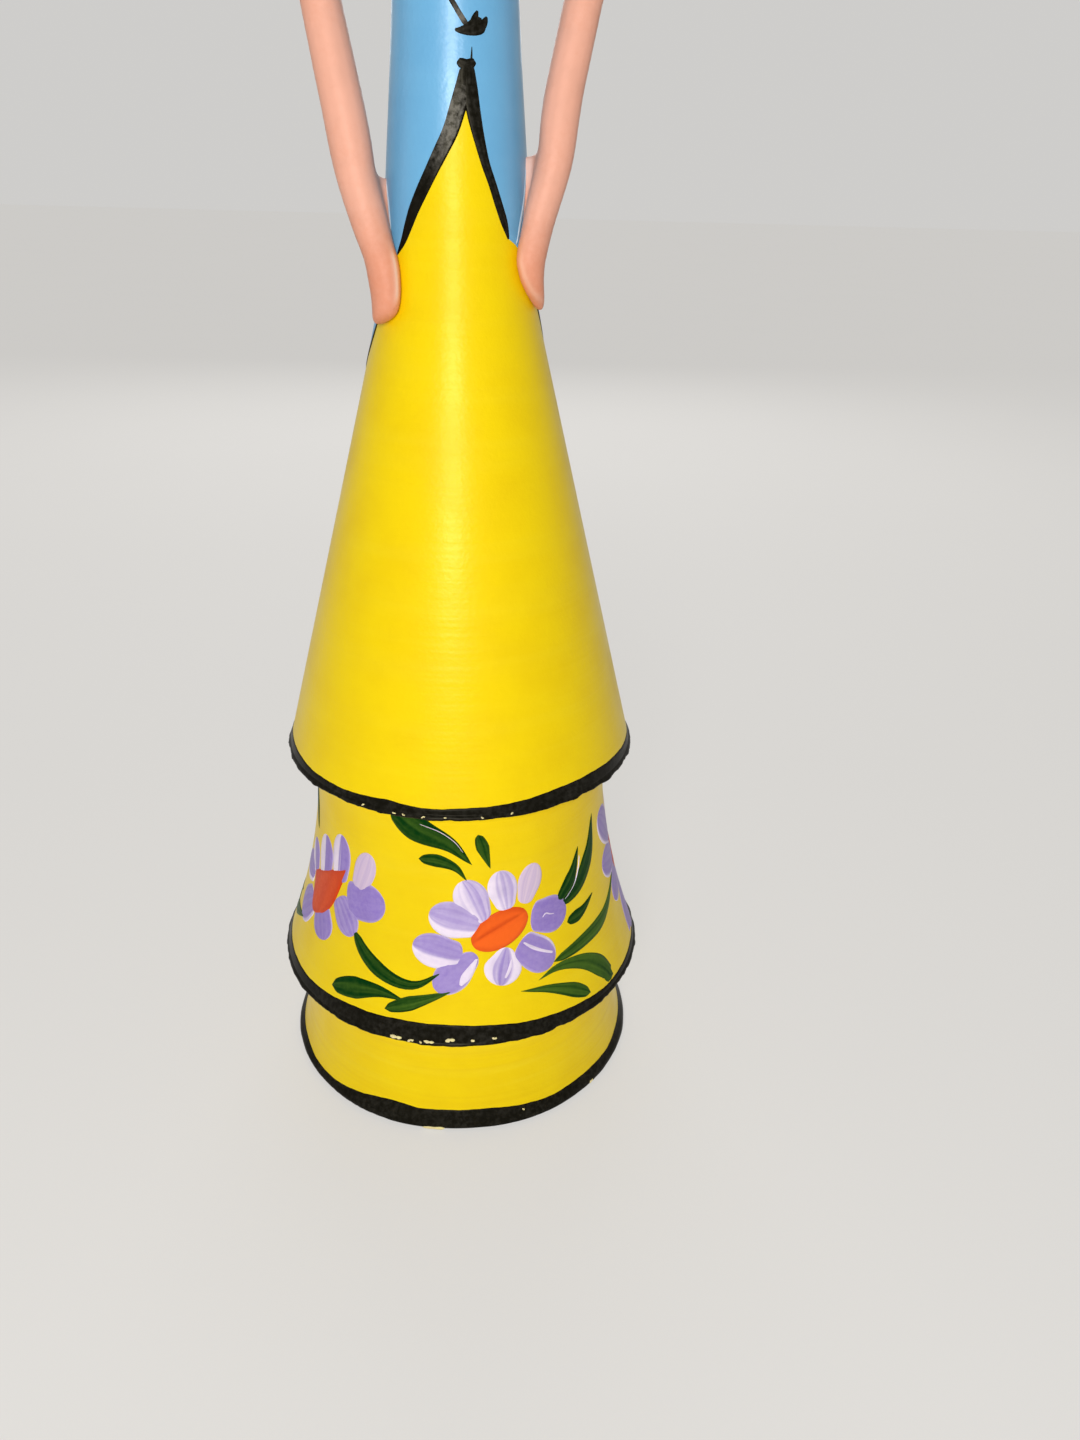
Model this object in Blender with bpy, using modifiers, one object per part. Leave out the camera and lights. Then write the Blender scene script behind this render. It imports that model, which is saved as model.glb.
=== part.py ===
"""A wooden folk art doll: a turned skirt and bodice, stick arms with the hands on the hips, and a
head that turns on its neck dowel.

Metres, +Z up. The doll stands on z = 0 with its turning axis on Z and faces -Y.
Left and right are the doll's own, so its left side is at +X.
"""

import math

import bmesh
import bpy
from mathutils import Vector
from mathutils.geometry import interpolate_bezier

# Turned body: heights, stacked from the table up
PLINTH_HEIGHT = 0.0195
FLOWER_TIER_HEIGHT = 0.0400
CONE_HEIGHT = 0.0624
HIP_TO_BELLY = 0.0250
BELLY_TO_WAIST = 0.0290
WAIST_TO_CHEST = 0.0230
CHEST_TO_NECK = 0.0130
NECK_LENGTH = 0.0048

# Turned body: radii
BASE_RADIUS = 0.0300
PLINTH_TOP_RADIUS = 0.0270
MIDDLE_HEM_RADIUS = 0.0311
FLOWER_TIER_TOP_RADIUS = 0.0236
UPPER_HEM_RADIUS = 0.0277
HIP_RADIUS = 0.0120
BELLY_RADIUS = 0.00895
WAIST_RADIUS = 0.0074
CHEST_RADIUS = 0.0108
NECK_RADIUS = 0.0046
EDGE_ROUND = 0.0006

# Head, with its nose and bun
HEAD_RADIUS = 0.0165
HEAD_HALF_HEIGHT = 0.0174
HEAD_SEAT_RADIUS = 0.0056
NOSE_RADIUS = 0.0019
NOSE_LENGTH = 0.0026
NOSE_PEG_RADIUS = 0.0010
NOSE_PEG_LENGTH = 0.0040
NOSE_ELEVATION = math.radians(-6.0)
BUN_RADIUS = 0.0082
BUN_HALF_HEIGHT = 0.0062
BUN_BED = 0.0026
BUN_ELEVATION = math.radians(42.0)

# Arms and sleeves
ARM_RADIUS = 0.0024
HAND_RADIUS = 0.0020
HAND_BED = 0.0006
HAND_RISE = 0.0024
HAND_ANGLE = math.radians(45.0)
WRIST_RISE = 0.0122
WRIST_ANGLE = math.radians(63.0)
WRIST_BEND = 0.0035
WRIST_STAND_OFF = 0.0002
LEFT_HAND_LIFT = 0.0028
ELBOW_OUT = 0.0187
ELBOW_DROP = 0.0290
ELBOW_BEND = 0.0060
ARM_SOCKET_DEPTH = 0.0060
SLEEVE_RADIUS = 0.0068
SLEEVE_CROWN = 0.0070
SLEEVE_BED = 0.0020
CUFF_RADIUS = 0.0040
CUFF_WIDTH = 0.0018

# Hidden dowels
NECK_DOWEL_RADIUS = 0.0025
NECK_DOWEL_LENGTH = 0.0200
SHOULDER_DOWEL_RADIUS = 0.0020
SHOULDER_DOWEL_PAST = 0.0015
BUN_DOWEL_RADIUS = 0.0015
BUN_DOWEL_LENGTH = 0.0080
DOWEL_CHAMFER = 0.0004
SOCKET_WALL = 0.0030
FIT = 0.0003

# Smoothness of the round forms
LARGE_STEPS = 48
SMALL_STEPS = 24
CURVE_STEPS = 7
DOME_STEPS = 4
ARM_BEVEL_RESOLUTION = 5

# Paint colours
YELLOW = (0.90, 0.62, 0.004)
SKIN = (0.88, 0.43, 0.30)
WHITE = (0.80, 0.80, 0.77)
BROWN = (0.13, 0.050, 0.018)
BARE_WOOD = (0.62, 0.42, 0.22)
PAINT_ROUGHNESS = 0.42
WOOD_ROUGHNESS = 0.65

# Levels that follow from the stacked heights
TIER_TOP = PLINTH_HEIGHT + FLOWER_TIER_HEIGHT
HIP_LEVEL = TIER_TOP + CONE_HEIGHT
BELLY_LEVEL = HIP_LEVEL + HIP_TO_BELLY
WAIST_LEVEL = BELLY_LEVEL + BELLY_TO_WAIST
CHEST_LEVEL = WAIST_LEVEL + WAIST_TO_CHEST
NECK_ROOT = CHEST_LEVEL + CHEST_TO_NECK
NECK_TOP = NECK_ROOT + NECK_LENGTH
NECK_SOCKET_DEPTH = NECK_DOWEL_LENGTH / 2 + FIT
SHOULDER_LEVEL = NECK_TOP - NECK_SOCKET_DEPTH - SOCKET_WALL - SHOULDER_DOWEL_RADIUS


def clear_scene():
    for obj in list(bpy.data.objects):
        bpy.data.objects.remove(obj, do_unlink=True)


def new_collection(name):
    collection = bpy.data.collections.new(name)
    bpy.context.scene.collection.children.link(collection)
    return collection


def new_empty(name, collection, location):
    empty = bpy.data.objects.new(name, None)
    empty.empty_display_size = BASE_RADIUS
    empty.location = location
    collection.objects.link(empty)
    return empty


def paint(obj, colour, roughness=PAINT_ROUGHNESS):
    """Gives a piece its own Principled material."""
    material = bpy.data.materials.new(obj.name)
    material.use_nodes = True
    shader = material.node_tree.nodes["Principled BSDF"]
    shader.inputs["Base Color"].default_value = (*colour, 1.0)
    shader.inputs["Roughness"].default_value = roughness
    shader.inputs["Metallic"].default_value = 0.0
    obj.data.materials.append(material)


def turn(name, profile, collection, steps=SMALL_STEPS):
    """A turned piece. The profile runs from the top of the axis down the outer side to its foot."""
    mesh = bpy.data.meshes.new(name)
    points = [(radius, 0.0, height) for radius, height in profile]
    edges = [(i, i + 1) for i in range(len(points) - 1)]
    mesh.from_pydata(points, edges, [])
    obj = bpy.data.objects.new(name, mesh)
    collection.objects.link(obj)
    screw = obj.modifiers.new("Turning", "SCREW")
    screw.steps = steps
    screw.render_steps = steps
    screw.use_merge_vertices = True
    screw.merge_threshold = 0.00001
    screw.use_smooth_shade = True
    return obj


def dowel_profile(radius, low, high, chamfer):
    return [
        (0.0, high),
        (radius - chamfer, high),
        (radius, high - chamfer),
        (radius, low + chamfer),
        (radius - chamfer, low),
        (0.0, low),
    ]


def bore(name, radius, low, high, collection):
    """A plain round cutter."""
    return turn(name, [(0.0, high), (radius, high), (radius, low), (0.0, low)], collection)


def cut(obj, cutter):
    """Takes the cutter's shape out of a piece, and keeps the cutter out of the model."""
    cutter.hide_render = True
    cutter.display_type = "WIRE"
    boolean = obj.modifiers.new(cutter.name, "BOOLEAN")
    boolean.operation = "DIFFERENCE"
    boolean.solver = "EXACT"
    boolean.object = cutter


def point_along(obj, direction):
    """Turns a piece so that its own +Z points along a direction."""
    obj.rotation_mode = "QUATERNION"
    obj.rotation_quaternion = direction.to_track_quat("Z", "Y")


def bell(top_radius, hem_radius, low, high):
    """A tier that drops almost straight and then flares to its hem, from the top down."""
    points = []
    for i in range(CURVE_STEPS + 1):
        share = i / CURVE_STEPS
        radius = top_radius + (hem_radius - top_radius) * share**2
        points.append((radius, high + (low - high) * share))
    return points


def smooth_run(upper, lower, upper_slope, lower_slope):
    """A smooth turned stretch between two (radius, height) points with given radius per height."""
    height = upper[1] - lower[1]
    third = height / 3
    start = Vector((upper[0], upper[1], 0.0))
    end = Vector((lower[0], lower[1], 0.0))
    start_handle = start - Vector((upper_slope * third, third, 0.0))
    end_handle = end + Vector((lower_slope * third, third, 0.0))
    run = interpolate_bezier(start, start_handle, end_handle, end, CURVE_STEPS + 1)
    return [(point.x, point.y) for point in run]


def hem_edge(radius, level):
    """The rounded lower edge of a hem, down to its flat underside."""
    return [(radius, level + EDGE_ROUND), (radius - EDGE_ROUND / 2, level + EDGE_ROUND / 8),
            (radius - EDGE_ROUND, level)]


def torso_profile():
    """The outer side from the neck's top down to the hip, where the cone starts."""
    shoulder = []
    for i in range(CURVE_STEPS):
        angle = math.pi / 2 * (1 - i / CURVE_STEPS)
        shoulder.append((NECK_RADIUS + (CHEST_RADIUS - NECK_RADIUS) * math.cos(angle),
                         CHEST_LEVEL + CHEST_TO_NECK * math.sin(angle)))
    chest = (CHEST_RADIUS, CHEST_LEVEL)
    waist = (WAIST_RADIUS, WAIST_LEVEL)
    belly = (BELLY_RADIUS, BELLY_LEVEL)
    hip = (HIP_RADIUS, HIP_LEVEL)
    cone_slope = (HIP_RADIUS - UPPER_HEM_RADIUS) / CONE_HEIGHT
    belly_slope = (WAIST_RADIUS - HIP_RADIUS) / (BELLY_TO_WAIST + HIP_TO_BELLY)
    profile = [(NECK_RADIUS, NECK_TOP)]
    profile += shoulder
    profile += smooth_run(chest, waist, 0.0, 0.0)
    profile += smooth_run(waist, belly, 0.0, belly_slope)[1:]
    profile += smooth_run(belly, hip, belly_slope, cone_slope)[1:]
    return profile


def skirt_profile():
    """The outer side from the neck's top down to the hem edge of the long straight cone."""
    return torso_profile() + hem_edge(UPPER_HEM_RADIUS, TIER_TOP)


def tiers_profile():
    """The flowered tier under the cone's hem, and the plinth tier under that."""
    flowered = bell(FLOWER_TIER_TOP_RADIUS, MIDDLE_HEM_RADIUS, PLINTH_HEIGHT + EDGE_ROUND, TIER_TOP)
    plinth = bell(PLINTH_TOP_RADIUS, BASE_RADIUS, EDGE_ROUND, PLINTH_HEIGHT)
    profile = flowered[:-1] + hem_edge(MIDDLE_HEM_RADIUS, PLINTH_HEIGHT)
    profile += plinth[:-1] + hem_edge(BASE_RADIUS, 0.0)
    return profile


def body_radius(level):
    """The radius of the cone or the torso at a height."""
    profile = skirt_profile()
    for (upper_radius, upper), (lower_radius, lower) in zip(profile, profile[1:]):
        if lower <= level <= upper and upper > lower:
            share = (level - lower) / (upper - lower)
            return lower_radius + (upper_radius - lower_radius) * share
    return NECK_RADIUS


def head_profile(growth):
    """The ball of the head about its own centre, with the flat seat below it."""
    seat_angle = math.pi - math.asin(HEAD_SEAT_RADIUS / HEAD_RADIUS)
    steps = 2 * CURVE_STEPS
    points = []
    for i in range(steps + 1):
        angle = seat_angle * i / steps
        points.append(((HEAD_RADIUS + growth) * math.sin(angle),
                       (HEAD_HALF_HEIGHT + growth) * math.cos(angle)))
    return points + [(0.0, points[-1][1])]


def head_centre_rise():
    """How far the head's centre is above the top of the neck."""
    return FIT - head_profile(0.0)[-1][1]


def head_surface(direction):
    """The distance from the head's centre to its surface along a direction."""
    across = math.hypot(direction.x, direction.y) / HEAD_RADIUS
    along = direction.z / HEAD_HALF_HEIGHT
    return 1 / math.hypot(across, along)


def sleeve_out():
    """How far the middle of a sleeve is from the doll's axis."""
    return body_radius(SHOULDER_LEVEL) + SLEEVE_RADIUS - SLEEVE_BED


def sleeve_drop():
    """How far a sleeve hangs below the shoulder dowel: a wall, then the socket of the arm."""
    return SHOULDER_DOWEL_RADIUS + FIT + SOCKET_WALL + ARM_SOCKET_DEPTH


def by_hip(rise, angle, stand_off, side):
    """A point of an arm's middle line where the arm runs close to the hip."""
    level = HIP_LEVEL + rise + (LEFT_HAND_LIFT if side > 0 else 0.0)
    out = body_radius(level) + FIT + HAND_RADIUS + stand_off
    return Vector((side * out * math.sin(angle), -out * math.cos(angle), level))


def arm_joints(side):
    """The hand's end, the wrist, the elbow and the shoulder of one arm."""
    tip = by_hip(HAND_RISE, HAND_ANGLE, -HAND_BED, side)
    wrist = by_hip(WRIST_RISE, WRIST_ANGLE, WRIST_STAND_OFF, side)
    elbow = Vector((side * ELBOW_OUT, 0.0, SHOULDER_LEVEL - ELBOW_DROP))
    shoulder = Vector((side * sleeve_out(), 0.0, SHOULDER_LEVEL))
    return tip, wrist, elbow, shoulder


def bend(before, corner, after, length):
    """A round bend that leaves each straight run at a given distance from the corner."""
    start = corner + (before - corner).normalized() * length
    end = corner + (after - corner).normalized() * length
    start_handle = (start + 2 * corner) / 3
    end_handle = (end + 2 * corner) / 3
    return interpolate_bezier(start, start_handle, end_handle, end, CURVE_STEPS // 2)


def arm_route(side):
    """(point, share of the arm's radius) along one arm, from the round end of the hand upwards."""
    tip, wrist, elbow, shoulder = arm_joints(side)
    up_hand = (wrist - tip).normalized()
    up_arm = (shoulder - elbow).normalized()
    tenon_end = shoulder - up_arm * (SHOULDER_DOWEL_RADIUS + FIT + SOCKET_WALL + FIT)
    hand_share = HAND_RADIUS / ARM_RADIUS
    wrist_share = (hand_share + 1.0) / 2
    route = []
    for i in range(1, DOME_STEPS + 1):
        angle = math.pi / 2 * i / DOME_STEPS
        point = tip + up_hand * HAND_RADIUS * (1 - math.cos(angle))
        route.append((point, hand_share * math.sin(angle)))
    for point in bend(tip, wrist, elbow, WRIST_BEND):
        route.append((point, wrist_share))
    for point in bend(wrist, elbow, shoulder, ELBOW_BEND):
        route.append((point, 1.0))
    route.append((tenon_end, 1.0))
    return route


def curve_to_mesh(curve_object, collection):
    """Replaces a curve object by a mesh with welded caps, so that it can be cut."""
    bpy.context.view_layer.update()
    graph = bpy.context.evaluated_depsgraph_get()
    mesh = bpy.data.meshes.new_from_object(curve_object.evaluated_get(graph))
    shell = bmesh.new()
    shell.from_mesh(mesh)
    bmesh.ops.remove_doubles(shell, verts=shell.verts, dist=0.00001)
    shell.to_mesh(mesh)
    shell.free()
    mesh.shade_smooth()
    name = curve_object.name
    place = curve_object.matrix_world.copy()
    bpy.data.objects.remove(curve_object, do_unlink=True)
    mesh.name = name
    obj = bpy.data.objects.new(name, mesh)
    obj.matrix_world = place
    collection.objects.link(obj)
    return obj


def make_body(parts, cutters):
    profile = [(0.0, NECK_TOP)] + skirt_profile() + tiers_profile() + [(0.0, 0.0)]
    body = turn("body", profile, parts, LARGE_STEPS)
    paint(body, YELLOW)
    neck_socket = bore("neck_socket", NECK_DOWEL_RADIUS + FIT, NECK_TOP - NECK_SOCKET_DEPTH,
                       NECK_TOP + SOCKET_WALL, cutters)
    cut(body, neck_socket)
    return body


def make_neck_dowel(parts):
    half = NECK_DOWEL_LENGTH / 2
    dowel = turn("neck_dowel", dowel_profile(NECK_DOWEL_RADIUS, -half, half, DOWEL_CHAMFER), parts)
    dowel.location = (0.0, 0.0, NECK_TOP)
    paint(dowel, BARE_WOOD, WOOD_ROUGHNESS)
    return dowel


def make_shoulder_dowel(parts, cutters):
    """The cross dowel, and the cutter for the bore that runs through the chest and into both sleeves."""
    half = sleeve_out() + SHOULDER_DOWEL_PAST
    dowel = turn("shoulder_dowel", dowel_profile(SHOULDER_DOWEL_RADIUS, -half, half, DOWEL_CHAMFER), parts)
    cross_bore = bore("shoulder_bore", SHOULDER_DOWEL_RADIUS + FIT, -half - FIT, half + FIT, cutters)
    for obj in (dowel, cross_bore):
        obj.location = (0.0, 0.0, SHOULDER_LEVEL)
        point_along(obj, Vector((1.0, 0.0, 0.0)))
    paint(dowel, BARE_WOOD, WOOD_ROUGHNESS)
    return dowel, cross_bore


def make_body_clearance(cutters):
    """The cone and torso with the glue gap added, which shapes the seats of the hands and sleeves."""
    outline = []
    for radius, level in torso_profile():
        outline.append((radius + FIT, level))
    outline.append((UPPER_HEM_RADIUS + FIT, TIER_TOP + EDGE_ROUND))
    profile = [(0.0, outline[0][1])] + outline + [(0.0, outline[-1][1])]
    return turn("body_clearance", profile, cutters, LARGE_STEPS)


def sleeve_profile():
    """A puff sleeve about the shoulder dowel's line, with a turned cuff at its lower end."""
    drop = sleeve_drop()
    cuff_top = CUFF_WIDTH - drop
    points = []
    for i in range(CURVE_STEPS + 1):
        angle = math.pi / 2 * i / CURVE_STEPS
        points.append((SLEEVE_RADIUS * math.sin(angle), SLEEVE_CROWN * math.cos(angle)))
    for i in range(1, CURVE_STEPS):
        angle = math.pi / 2 * i / CURVE_STEPS
        points.append((CUFF_RADIUS + (SLEEVE_RADIUS - CUFF_RADIUS) * math.cos(angle),
                       cuff_top * math.sin(angle)))
    rim = CUFF_RADIUS + EDGE_ROUND
    points += [(CUFF_RADIUS, cuff_top), (rim, cuff_top - EDGE_ROUND), (rim, EDGE_ROUND - drop),
               (CUFF_RADIUS, -drop), (0.0, -drop)]
    return points


def make_sleeve(name, side, parts, cutters, cross_bore, body_clearance):
    _, _, elbow, shoulder = arm_joints(side)
    up_arm = (shoulder - elbow).normalized()
    sleeve = turn(name, sleeve_profile(), parts)
    socket_low = -sleeve_drop() - SOCKET_WALL
    socket = bore(name + "_socket", ARM_RADIUS + FIT, socket_low, ARM_SOCKET_DEPTH - sleeve_drop(), cutters)
    for obj in (sleeve, socket):
        obj.location = shoulder
        point_along(obj, up_arm)
    cut(sleeve, body_clearance)
    cut(sleeve, cross_bore)
    cut(sleeve, socket)
    paint(sleeve, WHITE)
    return sleeve


def make_arm(name, side, parts, body_clearance):
    curve = bpy.data.curves.new(name, "CURVE")
    curve.dimensions = "3D"
    curve.bevel_depth = ARM_RADIUS
    curve.bevel_resolution = ARM_BEVEL_RESOLUTION
    curve.use_fill_caps = True
    route = arm_route(side)
    spline = curve.splines.new("POLY")
    spline.points.add(len(route) - 1)
    for spline_point, (place, share) in zip(spline.points, route):
        spline_point.co = (*place, 1.0)
        spline_point.radius = share
    curve_object = bpy.data.objects.new(name, curve)
    parts.objects.link(curve_object)
    arm = curve_to_mesh(curve_object, parts)
    cut(arm, body_clearance)
    paint(arm, SKIN)
    return arm


def make_head(parts, cutters, pivot):
    """The head and what is pegged into it, all carried by the pivot on the neck's axis."""
    centre = Vector((0.0, 0.0, head_centre_rise()))
    head = turn("head", head_profile(0.0), parts, LARGE_STEPS)
    neck_bore = bore("head_socket", NECK_DOWEL_RADIUS + FIT, -SOCKET_WALL, NECK_SOCKET_DEPTH, cutters)
    clearance = turn("head_clearance", head_profile(FIT), cutters, LARGE_STEPS)
    head.location = centre
    clearance.location = centre

    front = Vector((0.0, -math.cos(NOSE_ELEVATION), math.sin(NOSE_ELEVATION)))
    nose = turn("nose", nose_profile(), parts)
    nose_hole = bore("nose_hole", NOSE_PEG_RADIUS + FIT, -NOSE_PEG_LENGTH - FIT, SOCKET_WALL, cutters)
    for obj in (nose, nose_hole):
        obj.location = centre + front * head_surface(front)
        point_along(obj, front)

    back = Vector((0.0, math.cos(BUN_ELEVATION), math.sin(BUN_ELEVATION)))
    surface = centre + back * head_surface(back)
    half = BUN_DOWEL_LENGTH / 2
    bun = turn("hair_bun", bun_profile(), parts)
    bun_dowel = turn("bun_dowel", dowel_profile(BUN_DOWEL_RADIUS, -half, half, DOWEL_CHAMFER), parts)
    bun_bore = bore("bun_bore", BUN_DOWEL_RADIUS + FIT, -half - FIT, half + FIT, cutters)
    bun.location = surface + back * (BUN_HALF_HEIGHT - BUN_BED)
    bun_dowel.location = surface
    bun_bore.location = surface
    for obj in (bun, bun_dowel, bun_bore):
        point_along(obj, back)

    for obj in (head, neck_bore, clearance, nose, nose_hole, bun, bun_dowel, bun_bore):
        obj.parent = pivot
    cut(head, neck_bore)
    cut(head, nose_hole)
    cut(head, bun_bore)
    cut(bun, clearance)
    cut(bun, bun_bore)
    paint(head, SKIN)
    paint(nose, SKIN)
    paint(bun, BROWN)
    paint(bun_dowel, BARE_WOOD, WOOD_ROUGHNESS)


def nose_profile():
    """A small dome on the head's surface with its peg below, along the nose's own axis."""
    points = []
    for i in range(CURVE_STEPS + 1):
        angle = math.pi / 2 * i / CURVE_STEPS
        points.append((NOSE_RADIUS * math.sin(angle), FIT + (NOSE_LENGTH - FIT) * math.cos(angle)))
    return points + [(NOSE_PEG_RADIUS, FIT), (NOSE_PEG_RADIUS, -NOSE_PEG_LENGTH), (0.0, -NOSE_PEG_LENGTH)]


def bun_profile():
    steps = 2 * CURVE_STEPS
    points = []
    for i in range(steps + 1):
        angle = math.pi * i / steps
        points.append((BUN_RADIUS * math.sin(angle), BUN_HALF_HEIGHT * math.cos(angle)))
    return points


def main():
    clear_scene()
    parts = new_collection("wooden_folk_doll")
    cutters = new_collection("cutters")
    stand = new_empty("doll_stand", parts, (0.0, 0.0, 0.0))
    pivot = new_empty("head_pivot", parts, (0.0, 0.0, NECK_TOP))

    body = make_body(parts, cutters)
    neck_dowel = make_neck_dowel(parts)
    shoulder_dowel, cross_bore = make_shoulder_dowel(parts, cutters)
    cut(body, cross_bore)
    body_clearance = make_body_clearance(cutters)
    fixed = [body, neck_dowel, shoulder_dowel, cross_bore, body_clearance]
    for side_name, side in (("left", 1), ("right", -1)):
        fixed.append(make_sleeve(side_name + "_sleeve", side, parts, cutters, cross_bore, body_clearance))
        fixed.append(make_arm(side_name + "_arm", side, parts, body_clearance))
    for obj in fixed:
        obj.parent = stand
    make_head(parts, cutters, pivot)
    pivot.parent = stand
    bpy.context.view_layer.update()


main()
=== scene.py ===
"""Looks of the wooden folk art doll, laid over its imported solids.

Sizes in the tables are millimetres and angles are degrees. An angle runs round the turning axis from
the doll's front, and grows towards its left hand.
"""

import math

import bmesh
import bpy
import numpy as np
from mathutils import Matrix, Vector


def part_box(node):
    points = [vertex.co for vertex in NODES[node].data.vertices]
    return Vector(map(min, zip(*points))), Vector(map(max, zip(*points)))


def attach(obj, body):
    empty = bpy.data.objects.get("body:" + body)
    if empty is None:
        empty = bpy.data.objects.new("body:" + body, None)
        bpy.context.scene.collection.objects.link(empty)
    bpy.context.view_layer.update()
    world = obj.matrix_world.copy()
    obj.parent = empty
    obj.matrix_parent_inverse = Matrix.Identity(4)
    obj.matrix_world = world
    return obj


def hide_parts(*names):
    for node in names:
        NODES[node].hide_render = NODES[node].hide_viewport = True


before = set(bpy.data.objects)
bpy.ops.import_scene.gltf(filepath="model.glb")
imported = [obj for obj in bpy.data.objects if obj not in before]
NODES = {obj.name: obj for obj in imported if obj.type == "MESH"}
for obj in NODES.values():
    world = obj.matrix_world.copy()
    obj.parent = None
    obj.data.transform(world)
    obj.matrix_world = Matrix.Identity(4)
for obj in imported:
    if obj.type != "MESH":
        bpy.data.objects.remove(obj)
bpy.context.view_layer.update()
MM = 0.001

# Heights of the turned body
BASE = 0.0
MIDDLE_HEM = 19.5
UPPER_HEM = 59.5
NECK_ROOT = 211.9
NECK_TOP = 216.7

# How paint lies on the wood: thickness, how far its rim sinks in, least width, and gap between rows of points
FILM = 0.07
SINK = 0.06
LEAST_WIDTH = 0.06
ROW_LENGTH = 0.3
# Millimetres that a degree counts for along a curve of angles and heights
ANGLE_SCALE = 1.0 / 6.0

# Paint colours, linear
YELLOW = (0.900, 0.650, 0.002)
YELLOW_DEEP = (0.800, 0.530, 0.002)
YELLOW_PALE = (0.930, 0.730, 0.030)
BLUE = (0.148, 0.425, 0.690)
BLUE_DEEP = (0.110, 0.350, 0.620)
BLUE_PALE = (0.230, 0.520, 0.780)
BLACK = (0.004, 0.0035, 0.002)
# Grey of dry brushing on the black, which on the front outline also stands in for painted glare
BLACK_DRY_AND_GLARE = (0.150, 0.140, 0.120)
SKIN = (0.840, 0.425, 0.305)
SKIN_DEEP = (0.720, 0.250, 0.130)
SKIN_PALE = (0.880, 0.600, 0.520)
LILAC = (0.280, 0.190, 0.560)
LILAC_WHITE = (0.890, 0.780, 0.910)
LILAC_THIN = (0.790, 0.630, 0.730)
ORANGE = (0.940, 0.140, 0.014)
ORANGE_RED = (0.640, 0.055, 0.006)
GREEN = (0.001, 0.032, 0.003)
GREEN_LIGHT = (0.070, 0.145, 0.016)
WHITE = (0.800, 0.790, 0.760)
WHITE_SHADE = (0.560, 0.600, 0.650)
WHITE_BRIGHT = (0.860, 0.850, 0.820)
BROWN = (0.085, 0.032, 0.012)
BROWN_LIGHT = (0.190, 0.080, 0.028)
RED = (0.560, 0.035, 0.028)
CREAM = (0.780, 0.640, 0.380)
STRAW = (0.880, 0.780, 0.360)
WOOD = (0.600, 0.400, 0.210)
WOOD_DARK = (0.400, 0.235, 0.105)


def smooth(value):
    """A share held between 0 and 1, eased at both ends."""
    value = np.clip(value, 0.0, 1.0)
    return value * value * (3.0 - 2.0 * value)


def ramp(value, start, end):
    """Rises smoothly from 0 at start to 1 at end."""
    return smooth((value - start) / (end - start))


def bell(place, middle, spread):
    """One at the middle, falling away on both sides."""
    return np.exp(-((place - middle) / spread) ** 2)


def arch(place):
    """Height of a half circle of radius 1, at a place from its middle."""
    return np.sqrt(np.maximum(0.0, 1.0 - np.square(place)))


def wave(place, seed):
    """A gentle repeatable wobble between about -1 and 1."""
    return (np.sin(place + 1.7 * seed) + 0.6 * np.sin(2.3 * place + 4.1 * seed)
            + 0.4 * np.sin(4.7 * place + 2.9 * seed)) / 2.0


def even(count):
    """Shares from 0 to 1, evenly spread."""
    return np.linspace(0.0, 1.0, count)


def eased(count):
    """Shares from 0 to 1 that lie closest together at both ends."""
    return 0.5 - 0.5 * np.cos(np.pi * even(count))


def full_turn(count):
    """Angles all the way round, as a column."""
    return np.linspace(-180.0, 180.0, count, endpoint=False)[:, None]


def around(turn, out, height):
    """Points at a distance from the turning axis, by a turn in radians from the front."""
    return np.stack(np.broadcast_arrays(out * np.sin(turn), -out * np.cos(turn), height), -1)


def bridge(share, start, leaving, end, arriving):
    """A cubic between two points, with the directions in which it leaves and arrives."""
    square = share * share
    cube = square * share
    return ((2 * cube - 3 * square + 1) * start + (cube - 2 * square + share) * leaving
            + (3 * square - 2 * cube) * end + (cube - square) * arriving)


def curve_through(points, shares):
    """A smooth curve through points, at shares of its length in their first two dimensions."""
    points = np.array(points, float)
    gaps = np.maximum(np.linalg.norm(np.diff(points[:, :2], axis=0), axis=1), 1e-6)
    knots = np.concatenate([[0.0], np.cumsum(gaps)])
    slopes = np.gradient(points, knots, axis=0)
    at = knots[-1] * shares
    i = np.clip(np.searchsorted(knots, at) - 1, 0, len(gaps) - 1)
    gap = gaps[i, None]
    share = (at - knots[i])[:, None] / gap
    return bridge(share, points[i], gap * slopes[i], points[i + 1], gap * slopes[i + 1])


def edge_height(table, angle):
    """Height of an edge at an angle, smooth between the points of its table."""
    scale = np.array([ANGLE_SCALE, 1.0])
    curve = curve_through(np.array(table, float) * scale, even(400)) / scale
    return np.interp(angle, curve[:, 0], curve[:, 1])


def tapered(line, tip=0.2):
    """A stroke's line with narrow ends."""
    line = np.array(line, float)
    line[[0, -1], 2] = tip
    return line


def oval(middle, half, wide, tilt, places):
    """An oval as the points of a stroke along it, for places from -1 to 1 on its length."""
    slant = math.radians(tilt)
    across = middle[0] + half * places * math.cos(slant)
    return np.stack([across, middle[1] + half * places * math.sin(slant), wide * arch(places)], -1)


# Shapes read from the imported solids

ON_LINE = 5e-6
SHARP_CORNER = math.cos(math.radians(22.0))
ROUNDING = 0.2
SLOPE_REACH = 0.15


def meridian(node, least_radius, aim=(0.0, -1.0), to_local=None):
    """(radius, height) in millimetres down one side of a turned solid, from top to foot."""
    found = set()
    for vertex in NODES[node].data.vertices:
        place = to_local @ vertex.co if to_local else vertex.co
        out = place.x * aim[0] + place.y * aim[1]
        aside = place.x * aim[1] - place.y * aim[0]
        if abs(aside) < ON_LINE and out > least_radius * MM:
            found.add((round(out / MM, 3), round(place.z / MM, 3)))
    return sorted(found, key=lambda point: (-point[1], -point[0]))


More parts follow.
